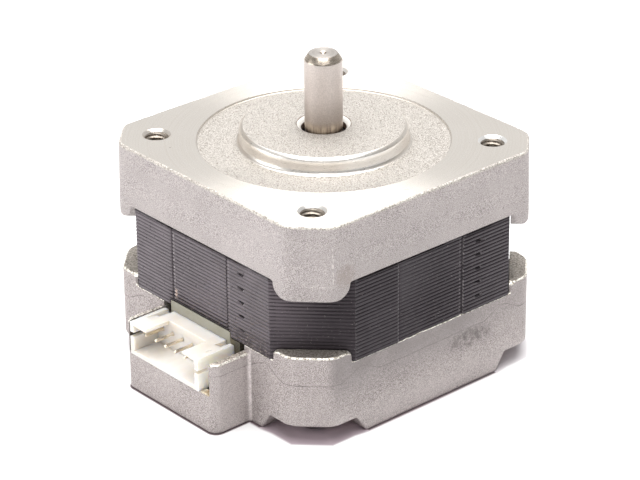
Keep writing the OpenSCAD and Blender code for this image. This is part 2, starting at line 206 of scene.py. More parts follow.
def tidy(obj, sharp=30.0, weld=4e-4):
    """Welds, orients and shades the mesh: smooth, with sharp edges where it turns."""
    bm = bmesh.new()
    bm.from_mesh(obj.data)
    bmesh.ops.remove_doubles(bm, verts=bm.verts, dist=weld * MM)
    bmesh.ops.dissolve_degenerate(bm, edges=bm.edges, dist=weld * MM)
    bmesh.ops.recalc_face_normals(bm, faces=bm.faces)
    limit = math.radians(sharp)
    for f in bm.faces:
        f.smooth = True
    for e in bm.edges:
        e.smooth = not (len(e.link_faces) == 2 and e.calc_face_angle(0.0) > limit)
    bm.to_mesh(obj.data)
    bm.free()
    obj.data.update()


def join_shells(name, shells, sharp=30.0):
    """One object from several closed surfaces that don't touch."""
    whole = Shell()
    for s in shells:
        start = len(whole.points)
        whole.points += s.points
        whole.faces += [[start + i for i in f] for f in s.faces]
    return to_object(name, whole, sharp, weld=1e-5)


def carve(obj, cutter, operation="DIFFERENCE", solver="MANIFOLD"):
    """Applies one boolean with the cutter and removes the cutter."""
    m = obj.modifiers.new("carve", "BOOLEAN")
    m.object, m.operation, m.solver = cutter, operation, solver
    bpy.context.view_layer.update()
    dg = bpy.context.evaluated_depsgraph_get()
    me = bpy.data.meshes.new_from_object(obj.evaluated_get(dg))
    obj.modifiers.clear()
    old = obj.data
    obj.data = me
    me.name = obj.name
    bpy.data.meshes.remove(old)
    bpy.data.objects.remove(cutter)
    return obj


def weighted(obj):
    m = obj.modifiers.new("normals", "WEIGHTED_NORMAL")
    m.mode, m.weight, m.keep_sharp = "FACE_AREA", 50, True


def loft(name, rows, flat=lambda p: (p[0], p[1])):
    """Closed solid through a list of equal closed loops, capped flat at both ends."""
    s = Shell()
    s.rows(rows, close=True)
    for end in (rows[0], rows[-1]):
        s.fill(end, flat=flat)
    return to_object(name, s)


def box_solid(name, x0, x1, y0, y1, z0, z1):
    """Sharp cutter block."""
    return loft(name, [[(x0, y0, z), (x1, y0, z), (x1, y1, z), (x0, y1, z)] for z in (z0, z1)])


def ripple(seed, count=24, low=0.15, high=6.0):
    """Smooth noise of one variable, as a sum of sines, about -1 to 1."""
    g = np.random.RandomState(seed)
    freq = np.exp(g.uniform(math.log(low), math.log(high), count))
    phase, amp = g.uniform(0, 2 * math.pi, count), freq ** -0.35
    total = math.sqrt((amp ** 2).sum() / 2) * 1.8
    return lambda x: float((amp * np.sin(freq * x + phase)).sum() / total)


# ---------------------------------------------------------- the square caps

class Outline:
    """Plan outline of a cap, round one corner. u runs along it from the corner's
    middle; at(u) gives (t, d, nt, nd): along and out from the corner's diagonal."""

    def __init__(self, s, c, r=3.0):
        self.s, self.c, self.r = s, c, r
        self.df, self.hf = (2 * s - c) / S2, c / S2
        self.t1 = self.hf - r * math.tan(math.pi / 8)
        self.u2 = self.t1 + r * math.pi / 4
        self.t2 = self.t1 + r / S2
        self.d2 = self.df - r + r / S2
        self.um = self.u2 + (s / S2 - self.t2) * S2

    def at(self, u):
        a, sign = abs(u), (1.0 if u >= 0 else -1.0)
        if a <= self.t1:
            t, d, nt, nd = a, self.df, 0.0, 1.0
        elif a <= self.u2:
            f = (a - self.t1) / self.r
            nt, nd = math.sin(f), math.cos(f)
            t, d = self.t1 + self.r * nt, self.df - self.r + self.r * nd
        else:
            k = (a - self.u2) / S2
            t, d, nt, nd = self.t2 + k, self.d2 - k, 1 / S2, 1 / S2
        return sign * t, d, sign * nt, nd

    def u_of_t(self, t):
        if t <= self.t1:
            return t
        if t <= self.t2:
            return self.t1 + self.r * math.asin(min(1.0, (t - self.t1) / self.r))
        return self.u2 + (t - self.t2) * S2


def place(p, q):
    """A point (t, d, z) of corner q in the part's frame."""
    a = math.radians(45 + 90 * q)
    t, d, z = p
    return (d * math.cos(a) - t * math.sin(a), d * math.sin(a) + t * math.cos(a), z)


def edge_rows(ol, inset, path, radius, upper, pull, seg=5):
    """Rounds the edge of a cap's wall along path, a list of (u, z).
    pull(k, t, d, nt, nd) is the direction in which the face beyond the edge runs
    inwards. Returns the (u, z) of the first row and all rows of points."""
    n = len(path)
    first, rows = [], [[] for _ in range(seg + 1)]
    for k in range(n):
        u, z = path[k]
        t, d, nt, nd = ol.at(u)
        i = inset(z)
        p = Vector((t - i * nt, d - i * nd, z))
        a, b = path[max(k - 1, 0)], path[min(k + 1, n - 1)]
        if k in (0, n - 1):
            tan = Vector((1.0, 0.0))
        else:
            e0 = (Vector(path[k]) - Vector(a)).normalized()
            e1 = (Vector(b) - Vector(path[k])).normalized()
            tan = (e0 + e1).normalized()
        out2 = Vector((-tan.y, tan.x)) if upper else Vector((tan.y, -tan.x))
        along, up, out = Vector((nd, -nt, 0)), Vector((0, 0, 1)), Vector((nt, nd, 0))
        if u < 0:
            along = Vector((nd, -nt, 0))
        t3 = tan.x * along + tan.y * up
        b3 = out2.x * along + out2.y * up
        m3 = t3.cross(Vector(pull(k, t, d, nt, nd)))
        m3.normalize()
        if m3.dot(b3) < 0:
            m3 = -m3
        cos = max(-1.0, min(1.0, out.dot(m3)))
        ang = math.acos(cos)
        r = radius[k]
        c = p - (out + m3) * (r / (1 + cos))
        for j in range(seg + 1):
            f = j / seg
            if ang < 1e-4:
                w = out
            else:
                w = (math.sin((1 - f) * ang) * out + math.sin(f * ang) * m3) / math.sin(ang)
            rows[j].append(tuple(c + w * r))
        shift = r * math.tan(ang / 2)
        first.append((u - out2.x * shift, z - out2.y * shift))
    return first, rows


def wall_faces(ol, inset, low, high):
    """Triangles of the wall between two rounded edges, as points (t, d, z)."""
    (low_uz, low_rows), (high_uz, high_rows) = low, high
    uz = [*low_uz, *reversed(high_uz)]
    pts3 = [*low_rows[0], *reversed(high_rows[0])]
    edges = [(i, (i + 1) % len(uz)) for i in range(len(uz))]
    z_lo, z_hi = max(p[1] for p in low_uz), min(p[1] for p in high_uz)
    columns = [ol.t1 + (ol.u2 - ol.t1) * i / 6 for i in range(7)]
    columns += [ol.u2 + k * 1.6 for k in range(1, 10)]
    columns = sorted({round(s * c, 6) for c in [0.0, 1.0, *columns] for s in (-1, 1)
                      if c < ol.um - 0.8})
    extra = []

    def band(points, u):
        """Heights of a (u, z) line at u: its lowest and highest."""
        zs = [a[1] + (b[1] - a[1]) * (u - a[0]) / (b[0] - a[0] or 1e-9)
              for a, b in zip(points, points[1:]) if min(a[0], b[0]) <= u <= max(a[0], b[0])]
        return min(zs), max(zs)

    for u in columns:
        z0, z1 = band(low_uz, u)[1] + 0.35, band(high_uz, u)[0] - 0.35
        if z1 - z0 < 0.3:
            continue
        steps = max(1, round((z1 - z0) / 1.3))
        start = len(uz) + len(extra)
        extra += [(u, z0 + (z1 - z0) * i / steps) for i in range(steps + 1)]
        edges += [(start + i, start + i + 1) for i in range(steps)]
    given = len(uz)
    out, _, tris, origin, _, _ = delaunay_2d_cdt(
        [Vector(p) for p in [*uz, *extra]], edges, [], 1, 1e-7)
    ring = np.array(uz)
    found = []
    for tri in tris:
        c = sum((out[i] for i in tri), Vector((0, 0))) / len(tri)
        if not inside(ring, c):
            continue
        where = []
        for i in tri:
            first = min(origin[i]) if origin[i] else -1
            if 0 <= first < given:
                where.append(pts3[first])
            else:
                u, z = out[i]
                t, d, nt, nd = ol.at(u)
                k = inset(z)
                where.append((t - k * nt, d - k * nd, z))
        found.append(where)
    return found


def mirrored(half):
    """A whole (u, z) path from the half with u from 0 up."""
    return [(-u, z) for u, z in reversed(half) if u > 1e-9] + list(half)


def lug_path(ol, half, r, foot, z_rim, z_end, step=0.3):
    """(u, z) line of one lug and the rim beside it, and how far the lug reaches."""
    pts = [(0.0, z_end), (half, z_end), (half, z_rim), (ol.s / S2, z_rim)]
    tz = subdivide(round_path(pts, [0, r, foot, 0]), step)
    path = [(ol.u_of_t(t), z) for t, z in tz]
    path[-1] = (ol.um, z_rim)
    keep = [path[0]]
    for p in path[1:]:
        if math.dist(p, keep[-1]) > 0.02:
            keep.append(p)
    keep[-1] = (ol.um, z_rim)
    return mirrored(keep), ol.u_of_t(half + foot)


def add_lug_side(shell, ol, path, rows, reach, z_rim, seg=3):
    """The lug's narrow sides, end and inner face. Returns the rim's points on this
    corner, in order of u, and the two lug feet."""
    end = rows[-1]
    ks = [k for k, (u, z) in enumerate(path) if abs(u) <= reach + 1e-6]
    a, b = ks[0], ks[-1]
    outer = [end[k] for k in ks]
    inner = [(p[0], min(LUG_D, p[1] - 0.02), p[2]) for p in outer]
    for q in range(4):
        shell.strip([place(p, q) for p in outer], [place(p, q) for p in inner])
        shell.fill([place(p, q) for p in inner],
                   flat=lambda p, q=q: (-p[0] * math.sin(math.radians(45 + 90 * q))
                                        + p[1] * math.cos(math.radians(45 + 90 * q)), p[2]))
    return end[:a + 1], [inner[0], inner[-1]], end[b:]


def rim_loop(before, feet, after):
    loop = []
    for q in range(4):
        for p in [*before, *feet, *after]:
            w = place(p, q)
            if not loop or math.dist(w, loop[-1]) > 1e-3:
                loop.append(w)
    if math.dist(loop[0], loop[-1]) < 1e-3:
        loop.pop()
    return loop


def mounting_thread(shell, cx, cy, n=48):
    """Countersink, M3 x 0.5 thread and clearance bore of one mounting hole."""
    pitch, major, minor, z_end = 0.5, 1.5, 1.25, -4.3
    per, rows = 10, []
    rows.append(circle(1.9, 0.0, n, cx, cy))
    rows.append(circle(1.86, -0.03, n, cx, cy))
    rows.append(circle(1.62, -0.30, n, cx, cy))
    z0 = -0.36
    count = int(round((z0 - z_end) / pitch * per))
    for i in range(count + 1):
        z = z0 + (z_end - z0) * i / count
        row = []
        for j in range(n):
            a = 2 * math.pi * j / n
            f = (-z / pitch + a / (2 * math.pi)) % 1.0
            crest = abs(f - 0.5) * 2            # 0 at the crest, 1 at the root
            r = minor + (major - minor) * max(0.0, min(1.0, (crest - 0.22) / 0.66))
            lead = min(1.0, i / (per * 0.9))
            r = r * lead + 1.56 * (1 - lead)
            if i > count - 3:
                r = max(r, 1.3)
            row.append((cx + r * math.cos(a), cy + r * math.sin(a), z))
        rows.append(row)
    rows.append(circle(1.52, -4.36, n, cx, cy))
    rows.append(circle(1.52, Z_STACK, n, cx, cy))
    shell.rows(rows, close=True)
    return rows[0], rows[-1]


def make_front_cap():
    ol = Outline(FRONT_S, FRONT_C)
    inset = lambda z: 0.021 * max(0.0, z - Z_STACK)
    path, reach = lug_path(ol, 4.8, 1.75, 0.3, Z_STACK, Z_EAR_F)
    radius = [0.28 if abs(u) < ol.u_of_t(4.0) else
              (0.14 if abs(u) > reach else 0.14 + 0.14 * (reach - abs(u)) / (reach - ol.u_of_t(4.0)))
              for u, _ in path]
    pull = lambda k, t, d, nt, nd: (0, -1, 0) if abs(path[k][0]) <= reach + 1e-6 else (-nt, -nd, 0)
    low = edge_rows(ol, inset, path, radius, False, pull)
    # the machined face runs out on the casting in a line that wanders a little
    jag = ripple(11, 30, 0.6, 9.0)
    top_half = [(ol.um * i / 120, 0.0) for i in range(121)]
    top = mirrored(top_half)
    edge = [0.29 + 0.08 * jag(u) * min(1.0, (ol.um - abs(u)) / 1.0) for u, _ in top]
    high = edge_rows(ol, inset, top, edge, True,
                     lambda k, t, d, nt, nd: (-nt, -nd, 0), seg=6)
    shell = Shell()
    wall = wall_faces(ol, inset, low, high)
    for q in range(4):
        for tri in wall:
            shell.face([place(p, q) for p in tri])
        for rows in (low[1], high[1]):
            shell.rows([[place(p, q) for p in row] for row in rows])
    before, feet, after = add_lug_side(shell, ol, path, low[1], reach, Z_STACK)
    holes_top, holes_low = [], []
    for sx in (-1, 1):
        for sy in (-1, 1):
            a, b = mounting_thread(shell, sx * HOLE, sy * HOLE)
            holes_top.append(a)
            holes_low.append(b)
    rn = 192
    shell.fill(rim_loop(before, feet, after), [circle(CAV_R, Z_STACK, rn), *holes_low])
    outer = []
    for q in range(4):
        for i, p in enumerate(high[1][-1][:-1]):
            outer.append(place(p, q))
    shell.fill(outer, [circle(16.68, 0.0, rn), *holes_top])
    profile = [(16.68, 0.0), (16.62, -0.05), (16.56, -0.27), (16.44, -0.33), (14.0, -0.33), (11.62, -0.33)]
    profile += [(11.38, -0.27), (11.18, -0.10), (11.06, 0.12), (11.0, 0.34), (11.0, 1.0), (11.0, 1.62)]
    profile += [(10.96, 1.70), (10.66, 2.01), (10.58, 2.05), (8.0, 2.05), (5.0, 2.05), (3.58, 2.05)]
    profile += [(3.5, 2.02), (2.98, 1.55), (2.95, 1.48), (2.95, 0.85), (6.5, 0.85), (6.5, 0.6), (8.0, 0.6)]
    profile += [(8.0, -4.42), (10.0, -4.42), (10.0, -3.0), (CAV_R, -3.0), (CAV_R, Z_STACK)]
    turned(shell, profile, rn)
    obj = to_object("front_cap_casting", shell)
    return obj


def notch_path(ol, step=0.3):
    """(u, z) line of the rear cap's lower edge, from a corner's middle to a side's."""
    pts = [(0.0, Z_PAD), (ol.um - 13.05, Z_PAD), (ol.um - 11.5, Z_REAR), (ol.um, Z_REAR)]
    path = subdivide(round_path(pts, [0, 0.5, 0.55, 0], 0.12), step)
    keep = [path[0]]
    for p in path[1:]:
        if math.dist(p, keep[-1]) > 0.02:
            keep.append(p)
    keep[-1] = (ol.um, Z_REAR)
    return keep


def make_rear_cap():
    ol = Outline(REAR_S, REAR_C)
    # the wall is set in by a constant 0.05 mm, without draft; the faint line where the two halves of the die meet is
    # drawn only in the cast_rear material
    inset = lambda z: 0.05 + 0.0 * z
    path, reach = lug_path(ol, 4.95, 0.85, 0.22, Z_SEAT, Z_EAR_R)
    rag = ripple(31, 40, 1.2, 16.0)
    path = [(u, z + (0.09 * max(-0.4, rag(abs(u) * 1.0 + (3 if u < 0 else 0)))
                     * min(1.0, (ol.um - abs(u)) / 1.5)
                     if abs(u) > reach + 0.2 else 0.0)) for u, z in path]
    radius = []
    for u, _ in path:
        a = abs(u)
        near = ol.u_of_t(3.6)
        radius.append(0.34 if a < near else
                      (0.15 if a > reach else 0.15 + 0.19 * (reach - a) / (reach - near)))
    pull = lambda k, t, d, nt, nd: (0, -1, 0) if abs(path[k][0]) <= reach + 1e-6 else (-nt, -nd, 0)
    high = edge_rows(ol, inset, path, radius, True, pull)
    half = notch_path(ol)
    bottom = mirrored(half)
    low = edge_rows(ol, inset, bottom, [0.26] * len(bottom), False,
                    lambda k, t, d, nt, nd: (-nt, -nd, 0), seg=4)
    shell = Shell()
    wall = wall_faces(ol, inset, low, high)
    for q in range(4):
        for tri in wall:
            shell.face([place(p, q) for p in tri])
        for rows in (low[1], high[1]):
            shell.rows([[place(p, q) for p in row] for row in rows])
    before, feet, after = add_lug_side(shell, ol, path, high[1], reach, Z_SEAT)
    rn = 160
    screw_top = [circle(1.7, Z_SEAT, 40, sx * HOLE, sy * HOLE) for sx in (-1, 1) for sy in (-1, 1)]
    shell.fill(rim_loop(before, feet, after), [circle(CAV_R, Z_SEAT, rn), *screw_top])
    turned(shell, [(CAV_R, Z_SEAT), (CAV_R, -26.6), (16.6, -26.6), (16.6, -28.8), (10.0, -28.8),
                   (10.0, -23.74), (8.0, -23.74), (8.0, -29.2), (4.75, -29.2), (4.75, -29.95),
                   (4.82, -30.08), (5.15, -30.4)], rn)
    # notch under each corner: ceiling, two sloping walls, screw hole
    end = low[1][-1]
    mid = len(bottom) // 2
    count = len(half)
    slope = [i for i, (u, z) in enumerate(half) if Z_REAR + 1e-4 < z < Z_PAD - 1e-4]
    a, b = slope[0] - 1, slope[-1] + 1

    def at_diagonal(k):
        t, d, z = end[k]
        nt, nd = ol.at(bottom[k][0])[2:]
        return (0.0, d - nd * t / nt, z)

    ring = []
    for q in range(4):
        for sign in (-1, 1):
            ks = [mid + sign * i for i in range(a, b + 1)]
            shell.strip([place(end[k], q) for k in ks], [place(at_diagonal(k), q) for k in ks])
        c = math.radians(45 + 90 * q)
        hx, hy = HOLE * S2 * math.cos(c), HOLE * S2 * math.sin(c)
        hole = circle(1.7, Z_PAD, 40, hx, hy)
        ceiling = [place(end[k], q) for k in range(mid - a, mid + a + 1)] + [place(at_diagonal(mid + a), q)]
        shell.fill(ceiling, [hole])
        shell.strip(hole, circle(1.7, Z_SEAT, 40, hx, hy), True)
        foot = [place(end[k], q) for k in range(0, mid - b + 1)]
        foot += [place(at_diagonal(mid + b), q)]
        foot += [place(end[k], q) for k in range(mid + b, len(end))]
        for w in foot:
            if not ring or math.dist(w, ring[-1]) > 1e-3:
                ring.append(w)
    if math.dist(ring[0], ring[-1]) < 1e-3:
        ring.pop()
    shell.fill(ring, [circle(5.15, Z_REAR, rn)])
    obj = to_object("rear_cap_casting", shell)

    # connector box, with small fillets where it leaves the side
    pts = [(-9.9, -20.0), (-9.9, -20.98), (-8.75, -20.98), (-8.75, -26.9), (9.25, -26.9),
           (9.25, -20.98), (10.4, -20.98), (10.4, -20.0)]
    plan = round_loop(pts, [0.45, 0.45, 0.5, 1.0, 1.3, 0.5, 0.45, 0.45], 8)
    rows = []
    for z, i in ([(Z_REAR + 0.25 - 0.25 * math.sin(f), 0.25 - 0.25 * math.cos(f))
                  for f in [math.pi / 2 * k / 4 for k in range(4, -1, -1)]]
                 + [(-20.45 - 0.34 + 0.34 * math.sin(f), 0.34 - 0.34 * math.cos(f))
                    for f in [math.pi / 2 * k / 5 for k in range(6)]]):
        rows.append([(x - nx * i, y - ny * i, z) for x, y, nx, ny in plan])
    # the rim is a little uneven, as blasted castings are
    uneven = ripple(5, 30, 1.0, 14.0)
    rows = [[(x, y, z + (0.03 * uneven(x * 0.7 + y) - 0.02 if z > -20.7 and y < -21.4 else 0.0))
             for x, y, z in row] for row in rows]
    carve(obj, loft("box", rows), "UNION")
    # inside of the box, flared at the rim
    pts = [(-7.98, -25.7), (8.25, -25.7), (8.25, -16.4), (-7.98, -16.4)]
    plan = round_loop(pts, 0.45, 5)
    rows = [[(x, y, -29.0) for x, y, _, _ in plan]]
    for k in range(6):
        f = math.pi / 2 * k / 5
        o = 0.08 - 0.08 * math.cos(f)
        rows.append([(x + nx * o, y + ny * o, -20.45 - 0.08 + 0.08 * math.sin(f)) for x, y, nx, ny in plan])
    rows.append([(x + nx * 0.08, y + ny * 0.08, -19.0) for x, y, nx, ny in plan])
    carve(obj, loft("inside", rows))
    # front opening above the sill
    pts = [(-7.95, -25.1), (8.25, -25.1), (8.25, -18.0), (-7.95, -18.0)]
    plan = round_loop(pts, [0.25, 0.25, 0.25, 0.25], 4)
    rows = []
    for k in range(6):
        f = math.pi / 2 * k / 5
        o = 0.22 - 0.22 * math.cos(math.pi / 2 - f)
        rows.append([(x + nx * o, -26.9 + 0.22 - 0.22 * math.sin(math.pi / 2 - f), z + nz * o)
                     for x, z, nx, nz in plan])
    start = [(x + nx * 0.22, -27.6, z + nz * 0.22) for x, z, nx, nz in plan]
    rows = [start, *rows, [(x, -25.0, z) for x, z, _, _ in plan]]
    carve(obj, loft("front", rows, flat=lambda p: (p[0], p[2])))
    tidy(obj, 32.0, 1e-3)
    return obj



# ------------------------------------------------------------- lamination stack

def pole_points(a):
    """Outline of one pole, its shoe and teeth, from slot to slot, about angle a."""
    yoke, shoe, bore, width, tooth, hw = 17.6, 12.7, 11.1, 4.2, 0.65, 19.3

    def polar(r, deg):
        return (r * math.cos(math.radians(deg)), r * math.sin(math.radians(deg)))

    b = math.degrees(math.asin(width / 2 / yoke))
    s = math.degrees(math.asin(width / 2 / shoe))
    pts = [polar(yoke, a - 22.5 + i * (22.5 - b) / 3) for i in range(4)]
    pts += [polar(shoe, a - s), polar(shoe, a - 10), polar(shoe - 0.1, a - 15), polar(shoe - 0.6, a - hw)]
    for t in range(6):
        for k in range(4):
            c = a - 18 + 7.2 * t + (-1.55, -1.3, 1.3, 1.55)[k]
            end = (t == 0 and k == 0) or (t == 5 and k == 3)
            r = bore + (0.02 if end else tooth) if k in (0, 3) else bore
            pts.append(polar(r, c))
    pts += [polar(shoe - 0.6, a + hw), polar(shoe - 0.1, a + 15), polar(shoe, a + 10), polar(shoe, a + s)]
    pts += [polar(yoke, a + 22.5 - (4 - i) * (22.5 - b) / 3) for i in range(1, 4)]
    return pts


PANEL_A, PANEL_B, PANEL_T = -6.0, 5.1, 0.11
LIP_X, LIP_Z = (-6.62, 5.62), -18.95
PITS = (-9.85, -11.8, -13.75, -15.7, -17.75)
PIT_X = 7.9
SPOT = (-5.45, -17.6)


def make_stack():
    """Stack of 23 laminations, each with its own sheared edge, with the recessed
    panel and the row of punch marks on each side."""
    half = STACK_S - STACK_C
    xs = {round(-half + 2 * half * i / 60, 4) for i in range(61)}
    for e in (PANEL_A, PANEL_B):
        xs = {x for x in xs if abs(x - e) > 0.22} | {e - 0.16, e - 0.05, e + 0.05, e + 0.16}
    for e in LIP_X:
        xs = {x for x in xs if abs(x - e) > 0.1} | {e - 0.05, e + 0.05}
    xs = {x for x in xs if abs(x - PIT_X) > 0.75} | {PIT_X + 0.75 * k / 6 for k in range(-6, 7)}
    xs = {x for x in xs if abs(abs(x) - half) > 0.3} | {-half, half, -half + 0.12, half - 0.12}
    cols = []
    for x in sorted(xs):
        nx, ny = 0.0, -1.0
        if abs(abs(x) - half) < 1e-6:
            nx, ny = math.copysign(math.tan(math.pi / 8), x), -1.0
        cols.append((x, -STACK_S, nx, ny, x))
    fl = STACK_C * S2
    for k in range(1, 22):
        f = k / 22
        cols.append((half + STACK_C * f, -STACK_S + STACK_C * f, 1 / S2, -1 / S2, None))
    g = np.random.RandomState(7)
    rows = []
    pitch = 0.5
    shape = ((0.0, 0.13), (0.06, 0.11), (0.11, 0.016), (0.165, 0.0), (0.35, 0.0), (0.41, 0.03), (0.455, 0.09))
    wave = [ripple(100 + i, 20, 0.2, 5.0) for i in range(23)]
    shift = g.uniform(-0.012, 0.012, 23)
    levels = []
    for i in range(23):
        for dz, depth in shape:
            z = Z_STACK - i * pitch - dz
            if i == 0:
                depth = 0.05 if dz < 0.1 else depth
            levels.append((z, depth, i))
    levels.append((Z_SEAT, 0.05, 22))

    def pit(x, z):
        if x is None or abs(x - PIT_X) > 0.5:
            return 0.0
        half = 0.04 + 0.12 * (x - PIT_X + 0.5)
        return max(min(1.0, max(0.0, (half + 0.04 - abs(z - zc)) / 0.05)) for zc in PITS)

    # the paint fills the sheared edges more on the corners and in the middle of a side
    fill_a, fill_b = ripple(61, 14, 0.1, 0.9), ripple(62, 14, 0.1, 0.9)

    def relief(side, q, z):
        if side is None:
            return 0.66 + 0.30 * min(1.0, max(0.0, (z + 14.5) / 4.0))
        f = 0.86 + 0.28 * fill_a(side * 0.6 + 17 * q) + 0.18 * fill_b(z * 0.7 + 9 * q)
        if q == 0 and z < -17.6 and LIP_X[0] < side < LIP_X[1]:
            f += 0.9
        if q:
            if PANEL_A < side < PANEL_B:
                f -= 0.10 + 0.40 * min(1.0, max(0.0, (z + 15.5) / 3.5))
            return min(1.15, max(0.25, f + 0.1))
        return min(1.9, max(0.5, f + (0.3 if PANEL_A < side < PANEL_B else 0.15)))

    # the first sheet stands back from the cap here and there and leaves a dark gap
    gap = ripple(71, 18, 0.08, 1.6)

    for z, depth, i in levels:
        row = []
        for q in range(4):
            ca, sa = math.cos(math.pi / 2 * q), math.sin(math.pi / 2 * q)
            for n, (x, y, nx, ny, side) in enumerate(cols):
                u = (x if side is not None else half + (x - half) * S2) + q * 40.0
                d = depth * relief(side, q, z) + shift[i] + 0.010 * wave[i](u * 0.9)
                if z > Z_STACK - 0.24:
                    f = (x - half) / STACK_C
                    away = half - abs(side) if side is not None else min(f, 1 - f) * STACK_C * S2
                    d += 0.30 * min(1.0, max(0.0, 0.75 + 0.9 * gap(u * 0.8))) * min(1.0, away / 0.8)
                if side is not None:
                    if PANEL_A < side < PANEL_B:
                        d += PANEL_T
                    if q == 0 and z < LIP_Z and LIP_X[0] < side < LIP_X[1]:
                        d = max(d, 0.0) * 0.3 + 0.24
                    if abs(side - PANEL_A) < 0.1:
                        d += 0.05
                    if abs(side - PANEL_B) < 0.1:
                        d += 0.24
                    d += 0.30 * pit(side, z)
                d = max(d, -0.0)
                px = x - nx * d
                py = y - ny * d
                row.append((px * ca - py * sa, px * sa + py * ca, z))
        rows.append(row)
    shell = Shell()
    shell.rows(rows, close=True)
    poles = [(p[0], p[1]) for k in range(8) for p in pole_points(k * 45)]
    for z, ring in ((Z_STACK, rows[0]), (Z_SEAT, rows[-1])):
        holes = [[(x, y, z) for x, y in poles]]
        holes += [circle(1.7, z, 32, sx * HOLE, sy * HOLE) for sx in (-1, 1) for sy in (-1, 1)]
        shell.fill(ring, holes)
    shell.strip([(x, y, Z_STACK) for x, y in poles], [(x, y, Z_SEAT) for x, y in poles], True)
    for sx in (-1, 1):
        for sy in (-1, 1):
            shell.strip(circle(1.7, Z_STACK, 32, sx * HOLE, sy * HOLE),
                        circle(1.7, Z_SEAT, 32, sx * HOLE, sy * HOLE), True)
    return to_object("lamination_stack", shell, sharp=50.0)


# ------------------------------------------------------------------- shaft

def make_shaft():
    prof = [(0.0, 11.62), (0.12, 11.63), (0.36, 11.88), (0.44, 11.95), (0.52, 11.965), (0.60, 11.98)]
    for k in range(5):                      # faint rings left by facing the end
        r = 0.66 + 0.22 * k
        prof += [(r, 11.988), (r + 0.09, 11.972), (r + 0.16, 11.988)]
    prof += [(1.82, 11.99), (1.89, 11.98), (1.93, 11.94)]
    prof += [(2.40, 11.28), (2.455, 11.19), (2.488, 11.10), (2.5, 10.98)]
    prof += [(2.5, 10.0), (2.5, 8.0), (2.5, 6.0), (2.5, 4.0), (2.5, 2.05), (2.5, 1.45), (2.3, 1.25), (2.3, 0.85),
             (2.5, 0.65), (2.5, -10.0), (2.5, -28.9), (2.46, -29.02), (2.14, -29.26), (2.08, -29.3), (0.0, -29.3)]
    shell = Shell()
    turned(shell, prof, 128)
    return to_object("motor_shaft", shell, sharp=35.0)


# ------------------------------------------------------------------- connector

def block(x0, x1, y0, y1, z0, z1):
    return box_solid("cutter", x0, x1, y0, y1, z0, z1)


def soften(obj, width, segments=2, angle=35.0):
    """Merges flat triangles again and gives every edge a small radius."""
    bm = bmesh.new()
    bm.from_mesh(obj.data)
    bmesh.ops.remove_doubles(bm, verts=bm.verts, dist=1e-6)
    bmesh.ops.dissolve_limit(bm, angle_limit=math.radians(1.0), verts=bm.verts, edges=bm.edges)
    for f in bm.faces:
        f.smooth = True
    bm.to_mesh(obj.data)
    bm.free()
    m = obj.modifiers.new("edges", "BEVEL")
    m.width, m.segments, m.limit_method, m.angle_limit = width * MM, segments, "ANGLE", math.radians(angle)
    m.miter_outer = "MITER_ARC"
    m.use_clamp_overlap = True
    weighted(obj)


HX0, HX1, HXC = -7.65, 6.25, -0.7
HY0, HY1, HBASE = -27.0, -20.95, -23.1
HZ0, HZ1 = -25.1, -20.45
PIN_Z = HZ1 - 1.7
PIN_XS = [HXC - 5.0 + 2.0 * i for i in range(6)]


def make_header():
    obj = box_solid("plug_header", HX0, HX1, HY0, HY1, HZ0, HZ1)
    # socket with a slightly tapered mouth
    rows = []
    for y, o, top in ((HY0 - 0.6, 0.06, 0.40), (HY0, 0.06, 0.40), (HY0 + 0.3, 0.0, 0.42), (HBASE, -0.03, 0.52)):
        x0, x1, z0, z1 = HX0 + 0.75 - o, HX1 - 0.75 + o, HZ0 + 0.6 - o, HZ1 - top
        rows.append([(x0, y, z0), (x1, y, z0), (x1, y, z1), (x0, y, z1)])
    carve(obj, loft("socket", rows, flat=lambda p: (p[0], p[2])))
    carve(obj, block(-4.38, 3.24, HY0 - 1, HBASE, HZ1 - 1, HZ1 + 1))
    for x, low, high in ((HX0 - 1, 2.12, 1.42), (HX1 - 0.9, 2.15, 1.70)):
        carve(obj, block(x, x + 1.9, HY0 - 1, HY0 + 1.8, HZ1 - low, HZ1 - high))
    # a groove from the back along each end strip, running out towards the front
    for x0, x1, line in ((-7.12, -5.96, ((-22.9, -0.60), (-22.9, -0.36), (-24.62, -0.07), (-24.66, 1.0))),
                         (4.63, 5.74, ((-21.95, -0.64), (-22.35, -0.3), (-22.9, -0.06), (-23.0, 1.0)))):
        line = [(HY1 + 1, -0.64), *line, (HY1 + 1, 1.0)]
        carve(obj, loft("groove", [[(x, y, HZ1 + z) for y, z in line] for x in (x0, x1)], flat=lambda p: (p[1], p[2])))
    carve(obj, block(5.44, 5.55, -25.05, -24.0, HZ1 - 0.09, HZ1 + 1))
    # the strips' back corners are rounded
    for x in (-7.75, 5.7):
        arc = [(HY1 + 0.5, HZ1 - 0.42)] + [(HY1 - 0.4 + 0.4 * math.cos(t), HZ1 - 0.4 + 0.4 * math.sin(t))
                                           for t in [math.pi / 2 * k / 5 for k in range(6)]] + [(HY1 - 0.42, HZ1 + 0.5), (HY1 + 0.5, HZ1 + 0.5)]
        carve(obj, loft("corner", [[(x + e, y, z) for y, z in arc] for e in (0.0, 0.7)], flat=lambda p: (p[1], p[2])))
    for x in PIN_XS:
        hole = Shell()
        turned(hole, [(0.27, -3.0), (0.27, 3.0)], 24)
        hole.fill(circle(0.27, -3.0, 24))
        hole.fill(circle(0.27, 3.0, 24))
        hole.points = [(x + p[0], -22.0 + p[2], PIN_Z + p[1]) for p in hole.points]
        carve(obj, to_object("hole", hole))
    soften(obj, 0.09, 3)
    return obj


def along_y(shell, x, z):
    """Turns a shell that was made round Z so that it lies along +Y at (x, z)."""
    shell.points = [(x + p[0], p[2], z - p[1]) for p in shell.points]
    return shell


